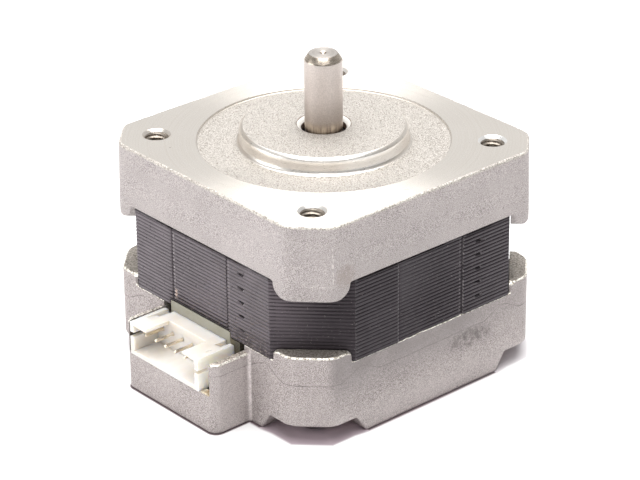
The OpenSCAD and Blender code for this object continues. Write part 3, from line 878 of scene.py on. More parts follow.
def make_pins():
    shells = []
    for x in PIN_XS:
        s = Shell()
        tip = [(0.0, -26.0)] + [(0.10 + 0.12 * math.sin(a), -26.0 + 0.18 - 0.18 * math.cos(a))
                                for a in [math.pi / 2 * k / 5 for k in range(6)]]
        turned(s, tip + [(0.22, -25.0), (0.22, -23.4), (0.265, -23.1), (0.265, -19.0), (0.25, -18.5), (0.19, -18.4), (0.0, -18.4)], 28)
        shells.append(along_y(s, x, PIN_Z))
    return join_shells("header_contacts", shells)


def make_board():
    obj = box_solid("driver_board", -7.6, 7.4, -20.1, -19.1, -28.8, -19.75)
    carve(obj, block(4.75, 9.0, -21.0, -18.0, -20.95, -18.0))
    carve(obj, block(-6.6, 7.38, -20.93, -20.0, -28.7, -19.86), "UNION")
    carve(obj, block(-6.55, 5.5, -20.99, -20.87, -20.41, -19.02), "UNION")
    for x, z, r in [(x, PIN_Z, 0.45) for x in PIN_XS] + [(x, -24.6, 0.4) for x in (-6.4, -2.5, 2.5, 6.4)]:
        s = Shell()
        turned(s, [(r, -21.0), (r, -18.0)], 24)
        s.fill(circle(r, -21.0, 24))
        s.fill(circle(r, -18.0, 24))
        carve(obj, to_object("hole", along_y(s, x, z)))
    soften(obj, 0.06, 2)
    return obj


# ------------------------------------------------------------------- screws

def make_screws():
    """Four pan head screws with cross recesses, from the rear into the front cap."""
    s = Shell()
    head = [(0.0, -29.9), (0.9, -29.895), (1.55, -29.88), (1.95, -29.84), (2.28, -29.73), (2.52, -29.54), (2.67, -29.28),
            (2.74, -28.95), (2.75, -28.45), (2.75, -28.12), (2.66, -28.0)]
    prof = head + [(1.58, -28.0), (1.5, -27.9)]
    z = -9.2
    prof += [(1.5, z)]
    while z < -4.95:                       # thread in the front cap
        prof += [(1.5, z + 0.06), (1.27, z + 0.2), (1.27, z + 0.3), (1.5, z + 0.44)]
        z += 0.5
    prof += [(1.15, -4.5), (0.0, -4.5)]
    clean = [prof[0]]
    for p in prof[1:]:
        if math.dist(p, clean[-1]) > 1e-6:
            clean.append(p)
    turned(s, clean, 48)
    first = to_object("housing_screws", s)
    for a in (20, 110):
        c, d = math.cos(math.radians(a)), math.sin(math.radians(a))
        rows = []
        for z, lx, ly in ((-30.3, 1.62, 0.36), (-29.9, 1.55, 0.34), (-28.75, 0.55, 0.20), (-28.45, 0.30, 0.15)):
            rows.append([(x * c - y * d, x * d + y * c, z)
                         for x, y in ((-lx, -ly), (lx, -ly), (lx, ly), (-lx, ly))])
        carve(first, loft("cross", rows))
    tidy(first, 32.0, 1e-3)
    turn = {(1, 1): 12, (1, -1): 47, (-1, 1): 80, (-1, -1): 31}
    me = first.data
    bm = bmesh.new()
    for (sx, sy), a in turn.items():
        part = bmesh.new()
        part.from_mesh(me)
        move = Matrix.Translation((sx * HOLE * MM, sy * HOLE * MM, 0)) @ Matrix.Rotation(math.radians(a), 4, "Z")
        bmesh.ops.transform(part, matrix=move, verts=part.verts)
        tmp = bpy.data.meshes.new("tmp")
        part.to_mesh(tmp)
        part.free()
        bm.from_mesh(tmp)
        bpy.data.meshes.remove(tmp)
    bm.to_mesh(me)
    bm.free()
    return first


# --------------------------------------------------------------- materials

class Look:
    """A node material. Coordinates are the piece's own, in millimetres."""

    def __init__(self, name):
        self.mat = bpy.data.materials.new(name)
        self.mat.use_nodes = True
        self.tree = self.mat.node_tree
        self.tree.nodes.clear()
        out = self.tree.nodes.new("ShaderNodeOutputMaterial")
        self.shader = self.tree.nodes.new("ShaderNodeBsdfPrincipled")
        self.tree.links.new(self.shader.outputs[0], out.inputs["Surface"])
        coord = self.tree.nodes.new("ShaderNodeTexCoord")
        self.mm = self.math3("SCALE", coord.outputs["Object"], scale=1000.0)

    def put(self, socket, value):
        if isinstance(value, bpy.types.NodeSocket):
            self.tree.links.new(value, socket)
        elif isinstance(value, (tuple, list)) and len(value) == 3 and socket.type == "RGBA":
            socket.default_value = (*value, 1.0)
        else:
            socket.default_value = value

    def set(self, **values):
        for key, value in values.items():
            self.put(self.shader.inputs[key.replace("_", " ")], value)

    def node(self, kind, attrs=None, **inputs):
        n = self.tree.nodes.new(kind)
        for k, v in (attrs or {}).items():
            setattr(n, k, v)
        for k, v in inputs.items():
            self.put(n.inputs[k.replace("_", " ")], v)
        return n

    def math3(self, op, a, b=None, scale=None):
        n = self.tree.nodes.new("ShaderNodeVectorMath")
        n.operation = op
        self.put(n.inputs[0], a)
        if b is not None:
            self.put(n.inputs[1], b)
        if scale is not None:
            self.put(n.inputs["Scale"], scale)
        return n.outputs[1] if op in ("LENGTH", "DOT_PRODUCT", "DISTANCE") else n.outputs[0]

    def math(self, op, a, b=None, c=None, clamp=False):
        n = self.tree.nodes.new("ShaderNodeMath")
        n.operation, n.use_clamp = op, clamp
        for i, v in enumerate((a, b, c)):
            if v is not None:
                self.put(n.inputs[i], v)
        return n.outputs[0]

    def noise(self, scale, detail=2.0, rough=0.5, vec=None, distortion=0.0):
        n = self.node("ShaderNodeTexNoise", None, Vector=vec if vec is not None else self.mm,
                      Scale=scale, Detail=detail, Roughness=rough, Distortion=distortion)
        return n.outputs[0]

    def cells(self, scale, feature="F1", vec=None, randomness=1.0):
        n = self.node("ShaderNodeTexVoronoi", {"feature": feature},
                      Vector=vec if vec is not None else self.mm, Scale=scale, Randomness=randomness)
        return n.outputs[0]

    def remap(self, value, a0, a1, b0=0.0, b1=1.0, smooth=False):
        n = self.node("ShaderNodeMapRange", {"interpolation_type": "SMOOTHSTEP" if smooth else "LINEAR"})
        for i, v in enumerate((value, a0, a1, b0, b1)):
            self.put(n.inputs[i], v)
        return n.outputs[0]

    def mix(self, factor, a, b, blend="MIX"):
        n = self.tree.nodes.new("ShaderNodeMix")
        n.data_type, n.blend_type = "RGBA", blend
        self.put(n.inputs[0], factor)
        self.put(n.inputs[6], a)
        self.put(n.inputs[7], b)
        return n.outputs[2]

    def xyz(self, vec=None):
        n = self.node("ShaderNodeSeparateXYZ", None, Vector=vec if vec is not None else self.mm)
        return n.outputs[0], n.outputs[1], n.outputs[2]

    def stretch(self, x, y, z):
        return self.math3("MULTIPLY", self.mm, (x, y, z))

    def bump(self, height, distance, strength=1.0, normal=None):
        """distance is the height of the relief in millimetres."""
        n = self.tree.nodes.new("ShaderNodeBump")
        n.inputs["Strength"].default_value = strength
        n.inputs["Distance"].default_value = distance * MM
        self.put(n.inputs["Height"], height)
        if normal is not None:
            self.put(n.inputs["Normal"], normal)
        return n.outputs[0]

    def normal(self, socket):
        self.put(self.shader.inputs["Normal"], socket)


def lin(r, g, b):
    """sRGB 0-255 to linear colour."""
    return tuple((c / 255 / 12.92) if c <= 10 else ((c / 255 + 0.055) / 1.055) ** 2.4 for c in (r, g, b))


def blasted(name, light, dark, rough=0.55, grain=1.0, metal=0.85, rear=False, marks=False):
    """Sand-blasted die casting: fine grain, soft mottling, a few dark pores, and painted light, shade and highlights on
    some faces.
    The rear cap also shows the line where the die halves meet, and a faint casting stain."""
    k = Look(name)
    fine = k.noise(11.5, 2.0, 0.7)
    mid = k.noise(3.6, 2.0, 0.5)
    wide = k.noise(0.16, 2.0, 0.5)
    f = k.math("ADD", k.math("MULTIPLY", fine, 0.93), k.math("MULTIPLY", mid, 0.07))
    f = k.remap(f, 0.40, 0.60)
    colour = k.mix(f, dark, light)
    colour = k.mix(k.remap(wide, 0.35, 0.65, 0.0, 0.30), colour, tuple(0.86 * c for c in light))
    glint = k.remap(k.noise(8.5, 2.0, 0.6), 0.66, 0.72, 0.0, 0.45)
    colour = k.mix(glint, colour, lin(246, 240, 232))
    if marks:
        # painted highlight, broken up: a bright line down the edge of the front corner and along the line above its
        # lug; further on, a trace of oil
        x, y, z = k.xyz()
        highlight_breakup = k.remap(k.noise(1.5, 3.0, 0.7), 0.47, 0.62)
        edge = k.math("MULTIPLY", k.remap(k.math("ABSOLUTE", k.math("ADD", y, 16.82)), 0.04, 0.12, 0.42, 0.0), k.remap(x, 20.6, 20.8))
        edge = k.math("MULTIPLY", edge, k.math("MULTIPLY", k.remap(z, -0.9, -0.5, 1.0, 0.0), k.remap(z, -8.0, -7.4)))
        diagonal = k.math("ADD", k.math("ABSOLUTE", x), k.math("ABSOLUTE", y))
        above = k.math("MULTIPLY", k.remap(k.math("ABSOLUTE", k.math("ADD", z, 8.08)), 0.04, 0.11, 0.28, 0.0), k.remap(diagonal, 37.4, 37.7))
        colour = k.mix(k.math("MULTIPLY", k.math("MAXIMUM", edge, above), highlight_breakup), colour, lin(250, 244, 238))
        # painted light: the -Y wall grows lighter towards the front corner and stops where the corner's facet begins
        step = k.math("MULTIPLY", k.remap(y, -20.85, -21.05), k.remap(x, 16.75, 16.95, 1.0, 0.0))
        colour = k.mix(k.math("MULTIPLY", step, k.remap(x, 2.0, 14.0, 0.01, 0.07)), colour, lin(244, 235, 236))
        # painted shade: darker below z -8, on the lugs
        colour = k.mix(k.remap(z, -8.0, -8.8, 0.0, 0.10), colour, tuple(0.4 * c for c in light))
        # painted shade: the +X wall darkens from z -2.5 down to -6, most towards the front corner
        under = k.math("MULTIPLY", k.remap(x, 20.6, 20.9), k.math("MULTIPLY", k.remap(z, -2.5, -6.0, 0.0, 0.12), k.remap(y, 0.0, 8.0, 1.0, 0.0)))
        colour = k.mix(under, colour, tuple(0.4 * c for c in light))
        oil = k.math("ADD", k.math("POWER", k.math("DIVIDE", k.math("ADD", y, 15.0), 1.8), 2.0),
                     k.math("POWER", k.math("DIVIDE", k.math("ADD", z, 7.1), 1.9), 2.0))
        oil = k.math("MULTIPLY", k.remap(oil, 0.05, 1.2, 0.45, 0.0, smooth=True), k.remap(x, 20.7, 21.0))
        colour = k.mix(k.math("MULTIPLY", oil, k.remap(k.noise(1.6, 4.0, 0.75), 0.36, 0.60, 0.25, 1.0)), colour, lin(134, 120, 108))
    if rear:
        x, y, z = k.xyz()
        side = k.math("ABSOLUTE", k.math("SUBTRACT", k.math("ABSOLUTE", x), k.math("ABSOLUTE", y)))
        rise = k.remap(k.math("ABSOLUTE", k.math("SUBTRACT", side, 8.6)), 0.0, 3.6, 1.35, 0.0, smooth=True)
        wave = k.math("MULTIPLY", k.math("SUBTRACT", k.noise(0.5, 2.0), 0.5), 0.25)
        off = k.math("ABSOLUTE", k.math("ADD", k.math("ADD", z, 22.08), k.math("SUBTRACT", wave, rise)))
        line = k.math("MULTIPLY", k.remap(off, 0.03, 0.10, 1.0, 0.0, smooth=True), k.remap(k.noise(0.7, 2.0), 0.35, 0.6, 0.25, 0.6))
        colour = k.mix(line, colour, tuple(0.42 * c for c in dark))
        px, py, pz = (k.math("DIVIDE", k.math("SUBTRACT", v, c), w) for v, c, w in ((x, 21.0, 1.5), (y, 6.6, 4.2), (z, -23.5, 1.5)))
        shade = k.math("MULTIPLY", k.remap(x, 20.3, 20.9), k.math("MULTIPLY", k.remap(z, -25.6, -20.6, 0.0, 0.84), k.remap(y, 5.0, 14.0, 1.0, 0.5)))
        shade = k.math("MULTIPLY", shade, k.remap(k.noise(0.2, 3.0, 0.6), 0.3, 0.6, 0.7, 1.0))
        colour = k.mix(shade, colour, tuple(0.4 * c for c in light))
        # painted light: the +X wall grows lighter towards its bottom, as light from the floor
        lift = k.math("MULTIPLY", k.remap(x, 20.3, 20.9), k.remap(z, -25.5, -28.0, 0.0, 0.16))
        colour = k.mix(lift, colour, lin(244, 236, 234))
        # painted light: a warm bright band along the sill inside the box's front opening
        ledge_light = k.math("MULTIPLY", k.remap(x, 6.0, 6.5), k.remap(k.math("ABSOLUTE", k.math("ADD", z, 25.1)), 0.12, 0.2, 0.85, 0.0))
        ledge_light = k.math("MULTIPLY", k.math("MULTIPLY", ledge_light, k.remap(x, 8.15, 8.22, 1.0, 0.0)), k.remap(y, -26.85, -26.7))
        ledge_light = k.math("MULTIPLY", ledge_light, k.remap(y, -25.4, -25.2, 1.0, 0.0))
        colour = k.mix(ledge_light, colour, k.mix(k.remap(k.noise(2.6, 3.0, 0.7), 0.40, 0.58), lin(176, 150, 108), lin(250, 240, 214)))
        # painted light: the +X side of the connector box is lighter
        box_side_light = k.math("MULTIPLY", k.remap(y, -21.5, -22.2, 0.0, 0.15), k.remap(x, 8.9, 9.2))
        colour = k.mix(box_side_light, colour, lin(238, 229, 226))
        # painted highlight: a light vertical line down the fillet where the box's +X wall meets the body
        fillet_highlight = k.math("MULTIPLY", k.remap(k.math("ABSOLUTE", k.math("SUBTRACT", x, 9.48)), 0.08, 0.28, 0.60, 0.0), k.remap(k.math("ABSOLUTE", k.math("ADD", y, 21.3)), 0.25, 0.4, 1.0, 0.0))
        fillet_highlight = k.math("MULTIPLY", fillet_highlight, k.remap(k.noise(2.2, 3.0, 0.7), 0.36, 0.60, 0.35, 1.0))
        colour = k.mix(fillet_highlight, colour, lin(250, 242, 240))
        far = k.math("ADD", k.math("ADD", k.math("MULTIPLY", px, px), k.math("MULTIPLY", py, py)), k.math("MULTIPLY", pz, pz))
        stain = k.math("MULTIPLY", k.remap(far, 0.1, 1.3, 0.62, 0.0, smooth=True), k.remap(k.noise(1.3, 4.0, 0.7), 0.34, 0.62))
        colour = k.mix(stain, colour, tuple(0.5 * c for c in dark))
    pores = k.remap(k.cells(0.55), 0.05, 0.085)
    colour = k.mix(k.math("MULTIPLY", k.math("SUBTRACT", 1.0, pores), 0.35), colour, tuple(0.45 * c for c in dark))
    k.set(Base_Color=colour, Metallic=metal, Roughness=k.remap(fine, 0.3, 0.7, rough + 0.08, rough - 0.08))
    grit = k.cells(8.0, "SMOOTH_F1")
    h = k.math("ADD", k.math("MULTIPLY", fine, 0.9 * grain), k.math("MULTIPLY", grit, 0.4 * grain))
    n = k.bump(h, 0.085)
    n = k.bump(k.noise(0.45, 2.0, 0.5), 0.05, 1.0, n)
    k.normal(n)
    return k.mat


def turned_face(name, colour_a, colour_b, rough, pitch=0.16, relief=0.004, aniso=0.85):
    """Face machined on a lathe: rings about the axis, with a stretched highlight."""
    k = Look(name)
    x, y, z = k.xyz()
    flat = k.node("ShaderNodeCombineXYZ", None, X=x, Y=y, Z=0.0).outputs[0]
    r = k.math3("LENGTH", flat)
    rings = k.math("SINE", k.math("MULTIPLY", r, 2 * math.pi / pitch))
    uneven = k.node("ShaderNodeTexNoise", {"noise_dimensions": "1D"}, W=r, Scale=3.5, Detail=4.0, Roughness=0.7).outputs[0]
    tone = k.math("ADD", k.math("MULTIPLY", uneven, 0.8), k.math("MULTIPLY", k.noise(0.12, 3.0, 0.6), 0.4))
    colour = k.mix(k.remap(tone, 0.42, 0.78), colour_a, colour_b)
    grain = k.noise(6.2, 3.0, 0.75)
    colour = k.mix(k.remap(grain, 0.40, 0.62, 0.16, 0.0), colour, lin(150, 138, 122))
    specks = k.math("MULTIPLY", k.remap(k.cells(0.42), 0.03, 0.06, 1.0, 0.0), k.remap(k.noise(0.5, 1.0), 0.48, 0.55, 0.0, 0.55))
    colour = k.mix(specks, colour, lin(112, 96, 80))
    k.set(Base_Color=colour, Metallic=1.0, Roughness=k.remap(uneven, 0.3, 0.7, rough - 0.05, rough + 0.06))
    k.shader.inputs["Anisotropic"].default_value = aniso
    k.shader.inputs["Anisotropic Rotation"].default_value = 0.25
    tangent = k.node("ShaderNodeTangent", {"direction_type": "RADIAL", "axis": "Z"})
    k.put(k.shader.inputs["Tangent"], tangent.outputs[0])
    h = k.math("ADD", k.math("MULTIPLY", rings, 0.5), k.math("MULTIPLY", uneven, 2.0))
    k.normal(k.bump(k.noise(6.0, 2.0, 0.5), 0.004, 1.0, k.bump(h, relief)))
    return k.mat


def sparkle_face(name, light, dark, rough=0.5, scale=1.0, relief=0.07, low=0.40, high=0.70, specks=False):
    """Coarsely blasted metal: bright grains between darker ones."""
    k = Look(name)
    fine = k.noise(4.8 * scale, 3.0, 0.6)
    grit = k.cells(3.8 * scale, "SMOOTH_F1")
    f = k.remap(k.math("ADD", k.math("MULTIPLY", fine, 0.7), k.math("MULTIPLY", grit, 0.45)), low, high)
    colour = k.mix(f, light, dark)
    if specks:
        dots = k.math("MULTIPLY", k.remap(k.cells(0.5), 0.05, 0.08, 1.0, 0.0), k.remap(k.noise(0.6, 1.0), 0.50, 0.56, 0.0, 0.8))
        colour = k.mix(dots, colour, tuple(0.25 * c for c in dark))
        x, y, z = k.xyz()
        r = k.math("SQRT", k.math("ADD", k.math("MULTIPLY", x, x), k.math("MULTIPLY", y, y)))
        # painted shade: a brown line round the outer edge of the bore's chamfer, strongest on the back-left half
        ring = k.math("MULTIPLY", k.remap(k.math("ABSOLUTE", k.math("SUBTRACT", r, 3.56)), 0.04, 0.10, 1.0, 0.0), k.remap(k.noise(1.3, 2.0), 0.35, 0.6, 0.35, 0.85))
        ring = k.math("MULTIPLY", ring, k.remap(k.math("SUBTRACT", y, x), -3.2, 0.5, 0.25, 1.0))
        colour = k.mix(ring, colour, lin(112, 92, 76))
        # painted shade: the ring grows darker towards the front corner
        near = k.remap(k.math("SUBTRACT", k.math("MULTIPLY", x, 0.62), k.math("MULTIPLY", y, 0.78)), 9.5, 12.5, 0.0, 0.16)
        colour = k.mix(near, colour, tuple(0.5 * c for c in light))
    k.set(Base_Color=colour, Metallic=0.85, Roughness=k.remap(fine, 0.3, 0.7, rough - 0.1, rough + 0.1))
    k.normal(k.bump(k.math("ADD", k.math("MULTIPLY", fine, 0.7), grit), relief))
    return k.mat


def smooth_metal(name, colour, rough=0.3, metal=1.0, streak=None, var=0.06, relief=0.003, scale=2.0, height_shade=None, grain=0.0, foot=None, light_by_facing=()):
    """Machined or drawn metal with faint streaks and uneven polish. height_shade is
    (z0, colour0, z1, colour1): painted shade, a tint multiplied in that changes from one height to another."""
    k = Look(name)
    vec = k.stretch(*(streak or (1.0, 1.0, 1.0)))
    a = k.noise(scale, 4.0, 0.6, vec)
    b = k.noise(0.35, 2.0, 0.5)
    tone = k.math("ADD", k.math("MULTIPLY", a, 0.6), k.math("MULTIPLY", b, 0.4))
    base = k.mix(k.remap(tone, 0.35, 0.65), tuple(c * (1 - 2.2 * var) for c in colour),
                 tuple(min(1.0, c * (1 + var)) for c in colour))
    if grain:
        base = k.mix(k.remap(k.noise(6.0, 3.0, 0.75), 0.40, 0.60, grain, 0.0), base, tuple(0.45 * c for c in colour))
    if height_shade:
        z0, c0, z1, c1 = height_shade
        base = k.mix(1.0, base, k.mix(k.remap(k.xyz()[2], z0, z1, smooth=True), c0, c1), "MULTIPLY")
    # foot is (z0, tint, z1): painted shade darkens the shaft from z1 down to z0 above the boss, and light vertical
    # streaks there are a painted reflection of the boss top
    if foot:
        base = k.mix(1.0, base, k.mix(k.remap(k.xyz()[2], foot[0], foot[2], smooth=True), k.mix(k.remap(k.xyz()[2], -1.0, 0.0), (1.0, 1.0, 1.0), foot[1]), (1.0, 1.0, 1.0)), "MULTIPLY")
        boss_reflection_streaks = k.remap(k.noise(1.9, 3.0, 0.7, k.stretch(1.0, 1.0, 0.12)), 0.40, 0.62)
        base = k.mix(k.math("MULTIPLY", k.math("MULTIPLY", k.remap(k.xyz()[2], -1.0, 0.0), k.remap(k.xyz()[2], 2.3, 3.4, 0.42, 0.0)), boss_reflection_streaks), base, lin(214, 200, 178))
    # painted light and shade: the colour is tinted by which way the surface faces
    for dx, dy, lo, hi, amount, c in light_by_facing:
        px, py, pz = k.xyz()
        toward = k.math("ADD", k.math("MULTIPLY", px, dx), k.math("MULTIPLY", py, dy))
        base = k.mix(k.remap(toward, lo, hi, 0.0, amount, smooth=True), base, c)
    k.set(Base_Color=base, Metallic=metal, Roughness=k.remap(a, 0.3, 0.7, rough - 0.05, rough + 0.06))
    k.normal(k.bump(a, relief))
    return k.mat


def laminations(name, level=0.45, rough=0.26):
    """Painted sheet edges: light sheared land, dark break, with worn specks. The connector side is painted
    lighter as painted light, the punch marks carry painted shade and a highlight, and bright dots along edges are
    painted highlights."""
    k = Look(name)
    x, y, z = k.xyz()
    ragged = k.math("MULTIPLY", k.math("SUBTRACT", k.noise(1.6, 3.0, 0.7, k.stretch(1, 1, 0.35)), 0.5), 0.16)
    v = k.math("FRACT", k.math("DIVIDE", k.math("ADD", k.math("ADD", z, -Z_STACK + 100.0), ragged), 0.5))
    land = k.remap(v, 0.20, 0.32, smooth=True)
    land2 = k.remap(v, 0.84, 0.95, 1.0, 0.0, smooth=True)
    stripe = k.math("MULTIPLY", land, land2)
    patch = k.remap(k.noise(0.22, 3.0, 0.6), 0.35, 0.7)
    # which side a point is on, and how far along it
    on_y = k.math("GREATER_THAN", k.math("ABSOLUTE", y), 20.4)
    on_x = k.math("GREATER_THAN", k.math("ABSOLUTE", x), 20.4)
    front = k.math("MULTIPLY", k.remap(y, -20.45, -20.62, 0.0, 1.0), k.remap(k.math("ABSOLUTE", x), STACK_S - STACK_C, STACK_S - STACK_C + 0.06, 1.0, 0.0))
    along_x = k.math("MULTIPLY", k.math("MULTIPLY", x, k.math("SIGN", y)), -1.0)
    along_y = k.math("MULTIPLY", y, k.math("SIGN", x))
    side = k.math("ADD", k.math("MULTIPLY", along_x, on_y), k.math("MULTIPLY", along_y, on_x))
    flat = k.math("MAXIMUM", on_x, on_y)
    # painted light: the connector side (front) gets much lighter land and break colours than the other sides
    lightc = k.mix(patch, lin(24, 20, 23), lin(37, 33, 36))
    lightc = k.mix(front, lightc, k.mix(patch, lin(78, 72, 75), lin(94, 87, 91)))
    nearest = k.math("MULTIPLY", k.math("LESS_THAN", y, STACK_C - STACK_S + 0.03), k.math("GREATER_THAN", x, STACK_S - STACK_C - 0.03))
    lit = k.math("MULTIPLY", k.remap(k.math("ADD", x, y), -7.5, 4.5, 1.0, 0.0, smooth=True), k.remap(z, -17.5, -13.0, 0.35, 1.0))
    lightc = k.mix(k.math("MULTIPLY", nearest, lit), lightc, lin(84, 77, 81))
    dark = k.mix(k.noise(2.4, 2.0), lin(10, 8, 9), lin(19, 16, 18))
    dark = k.mix(front, dark, lin(22, 19, 21))
    thick = k.remap(k.noise(0.13, 2.0, 0.5), 0.38, 0.62, 0.55, 1.0)
    thick = k.math("MULTIPLY", thick, k.math("ADD", k.math("MULTIPLY", flat, 0.45), 0.55))
    colour = k.mix(k.math("SUBTRACT", 1.0, k.math("MULTIPLY", k.math("SUBTRACT", 1.0, stripe), thick)), dark, lightc)
    worn = k.remap(k.noise(3.9, 3.0, 0.7, k.stretch(1.0, 1.0, 2.0)), 0.66, 0.72)
    colour = k.mix(k.math("MULTIPLY", worn, 0.42), colour, lin(214, 204, 200))
    other = k.math("MULTIPLY", k.math("SUBTRACT", 1.0, front), flat)
    # painted highlights: bright dotted lines along the panel's edges and a facet's edge
    for e, width, force, where in ((PANEL_A + 0.34, 0.13, 0.34, front), (PANEL_B + 0.5, 0.11, 0.13, front),
                                   (PANEL_A - 0.12, 0.08, 0.16, other), (PANEL_B + 0.15, 0.08, 0.18, other),
                                   (PANEL_B - 0.45, 0.08, 0.16, other), (-13.33, 0.06, 0.12, other)):
        near = k.remap(k.math("ABSOLUTE", k.math("SUBTRACT", side, e)), width * 0.5, width, force, 0.0)
        dots = k.math("MULTIPLY", k.remap(k.noise(2.6, 2.0, 0.6), 0.40, 0.54), k.math("MULTIPLY", near, where))
        colour = k.mix(k.math("MULTIPLY", dots, k.math("ADD", k.math("MULTIPLY", stripe, 0.7), 0.3)), colour, lin(214, 206, 206))
    # painted shade: thin dark lines along the panel's two steps on the connector side
    for e, width, force in ((PANEL_A, 0.05, 0.6), (PANEL_B, 0.16, 0.95)):
        near = k.remap(k.math("ABSOLUTE", k.math("SUBTRACT", side, e)), width * 0.6, width, force, 0.0)
        colour = k.mix(k.math("MULTIPLY", near, front), colour, lin(16, 13, 15))
    # painted light: the far end of the +X side is a little lighter
    far_side_light = k.math("MULTIPLY", k.math("MULTIPLY", k.math("GREATER_THAN", x, 20.4), k.remap(y, 3.0, 14.0, 0.0, 0.05)), 1.0)
    colour = k.mix(far_side_light, colour, lin(190, 182, 186))
    # painted shade: a dark, ragged band in the gap under the front cap
    edge = k.remap(k.math("ADD", z, k.math("MULTIPLY", k.noise(0.9, 3.0, 0.7), 0.28)), Z_STACK - 0.24, Z_STACK - 0.12, 0.0, 0.97)
    colour = k.mix(edge, colour, lin(10, 7, 8))
    # painted shade: darker in the low right part of the front, with light specks of dust
    dust = k.math("MULTIPLY", k.math("MULTIPLY", k.remap(z, -16.9, -18.9, 0.0, 0.75), k.remap(side, 5.2, 6.6)), front)
    dust = k.math("MULTIPLY", dust, k.remap(k.noise(0.8, 4.0, 0.7), 0.34, 0.56))
    colour = k.mix(dust, colour, lin(26, 20, 21))
    colour = k.mix(k.math("MULTIPLY", dust, k.remap(k.noise(4.4, 2.0, 0.7), 0.58, 0.64, 0.0, 0.55)), colour, lin(196, 180, 170))
    # painted shade: a dark band above the board, with light crumbs in it
    shade_above_board = k.math("MULTIPLY", k.remap(z, -17.7, -18.7, 0.0, 0.85), k.remap(k.math("ABSOLUTE", k.math("ADD", side, 0.5)), 6.0, 6.5, 1.0, 0.0))
    shade_above_board = k.math("MULTIPLY", k.math("MULTIPLY", shade_above_board, front), k.remap(k.noise(1.2, 4.0, 0.7), 0.30, 0.5))
    colour = k.mix(shade_above_board, colour, lin(20, 15, 16))
    crumbs = k.math("MULTIPLY", k.remap(k.noise(4.2, 2.0, 0.7), 0.60, 0.66), k.math("MULTIPLY", shade_above_board, 0.6))
    colour = k.mix(crumbs, colour, lin(202, 178, 164))
    # punch marks: painted shade as a dark wedge in each, with a painted highlight at its tip
    n = k.math("DIVIDE", k.math("ADD", z, 9.85), 1.975)
    dz = k.math("MULTIPLY", k.math("ABSOLUTE", k.math("SUBTRACT", n, k.math("ROUND", n))), 1.975)
    u = k.math("SUBTRACT", side, PIT_X)
    high = k.math("ADD", k.math("MULTIPLY", u, 0.14), 0.13)
    mark = k.math("MULTIPLY", k.math("LESS_THAN", dz, high), k.math("LESS_THAN", k.math("ABSOLUTE", u), 0.42))
    span = k.math("MULTIPLY", k.math("LESS_THAN", z, -9.0), k.math("GREATER_THAN", z, -18.6))
    mark = k.math("MULTIPLY", k.math("MULTIPLY", mark, span), flat)
    colour = k.mix(k.math("MULTIPLY", mark, 0.93), colour, lin(8, 6, 8))
    tip = k.math("MULTIPLY", k.remap(k.math("ABSOLUTE", k.math("SUBTRACT", u, 0.52)), 0.06, 0.12, 0.6, 0.0), k.remap(dz, 0.12, 0.24, 1.0, 0.0))
    tip = k.math("MULTIPLY", tip, k.math("ADD", k.math("MULTIPLY", front, 0.75), 0.25))
    colour = k.mix(k.math("MULTIPLY", k.math("MULTIPLY", tip, span), flat), colour, lin(200, 192, 194))
    # one rubbed spot where bare steel shows, beside the connector
    spot = k.math("MULTIPLY", k.remap(k.math("ABSOLUTE", k.math("SUBTRACT", side, SPOT[0])), 0.14, 0.24, 1.0, 0.0),
                  k.remap(k.math("ABSOLUTE", k.math("SUBTRACT", z, SPOT[1])), 0.5, 0.75, 1.0, 0.0))
    spot = k.math("MULTIPLY", k.math("MULTIPLY", spot, front), k.remap(k.noise(2.0, 3.0), 0.4, 0.55, 0.3, 0.8))
    colour = k.mix(spot, colour, lin(206, 180, 164))
    k.set(Base_Color=colour, Metallic=0.0, Roughness=k.remap(k.noise(1.1, 3.0), 0.3, 0.7, rough, rough + 0.14))
    k.shader.inputs["Specular IOR Level"].default_value = level
    k.shader.inputs["Specular Tint"].default_value = (*lin(255, 240, 249), 1.0)
    k.normal(k.bump(k.noise(5.0, 3.0, 0.6), 0.02))
    return k.mat


def moulded(name, colour, shade, rough=0.42, sub=0.25, depth=0.0008, end=None):
    """Natural moulded plastic: slightly see-through, faint flow marks and dust specks."""
    k = Look(name)
    flow = k.noise(0.35, 3.0, 0.55, k.stretch(1.0, 0.4, 1.0))
    colour_mix = k.mix(k.remap(flow, 0.32, 0.7), colour, shade)
    specks = k.remap(k.cells(0.8), 0.04, 0.07, 1.0, 0.0)
    gate = k.remap(k.noise(0.9, 1.0), 0.50, 0.56)
    colour_mix = k.mix(k.math("MULTIPLY", k.math("MULTIPLY", specks, gate), 0.6), colour_mix, lin(150, 128, 96))
    # painted light: the end face at x = end is painted lighter
    if end:
        colour_mix = k.mix(k.remap(k.xyz()[0], end - 0.06, end - 0.02, 0.0, 0.9), colour_mix, lin(250, 245, 236))
    k.set(Base_Color=colour_mix, Roughness=k.remap(k.noise(2.0, 2.0), 0.3, 0.7, rough - 0.06, rough + 0.08))
    if sub:
        k.shader.inputs["Subsurface Weight"].default_value = sub
        k.shader.inputs["Subsurface Radius"].default_value = (1.0, 0.85, 0.6)
        k.shader.inputs["Subsurface Scale"].default_value = depth
    k.shader.inputs["Specular IOR Level"].default_value = 0.38
    k.normal(k.bump(k.noise(1.2, 3.0, 0.5), 0.012))
    return k.mat


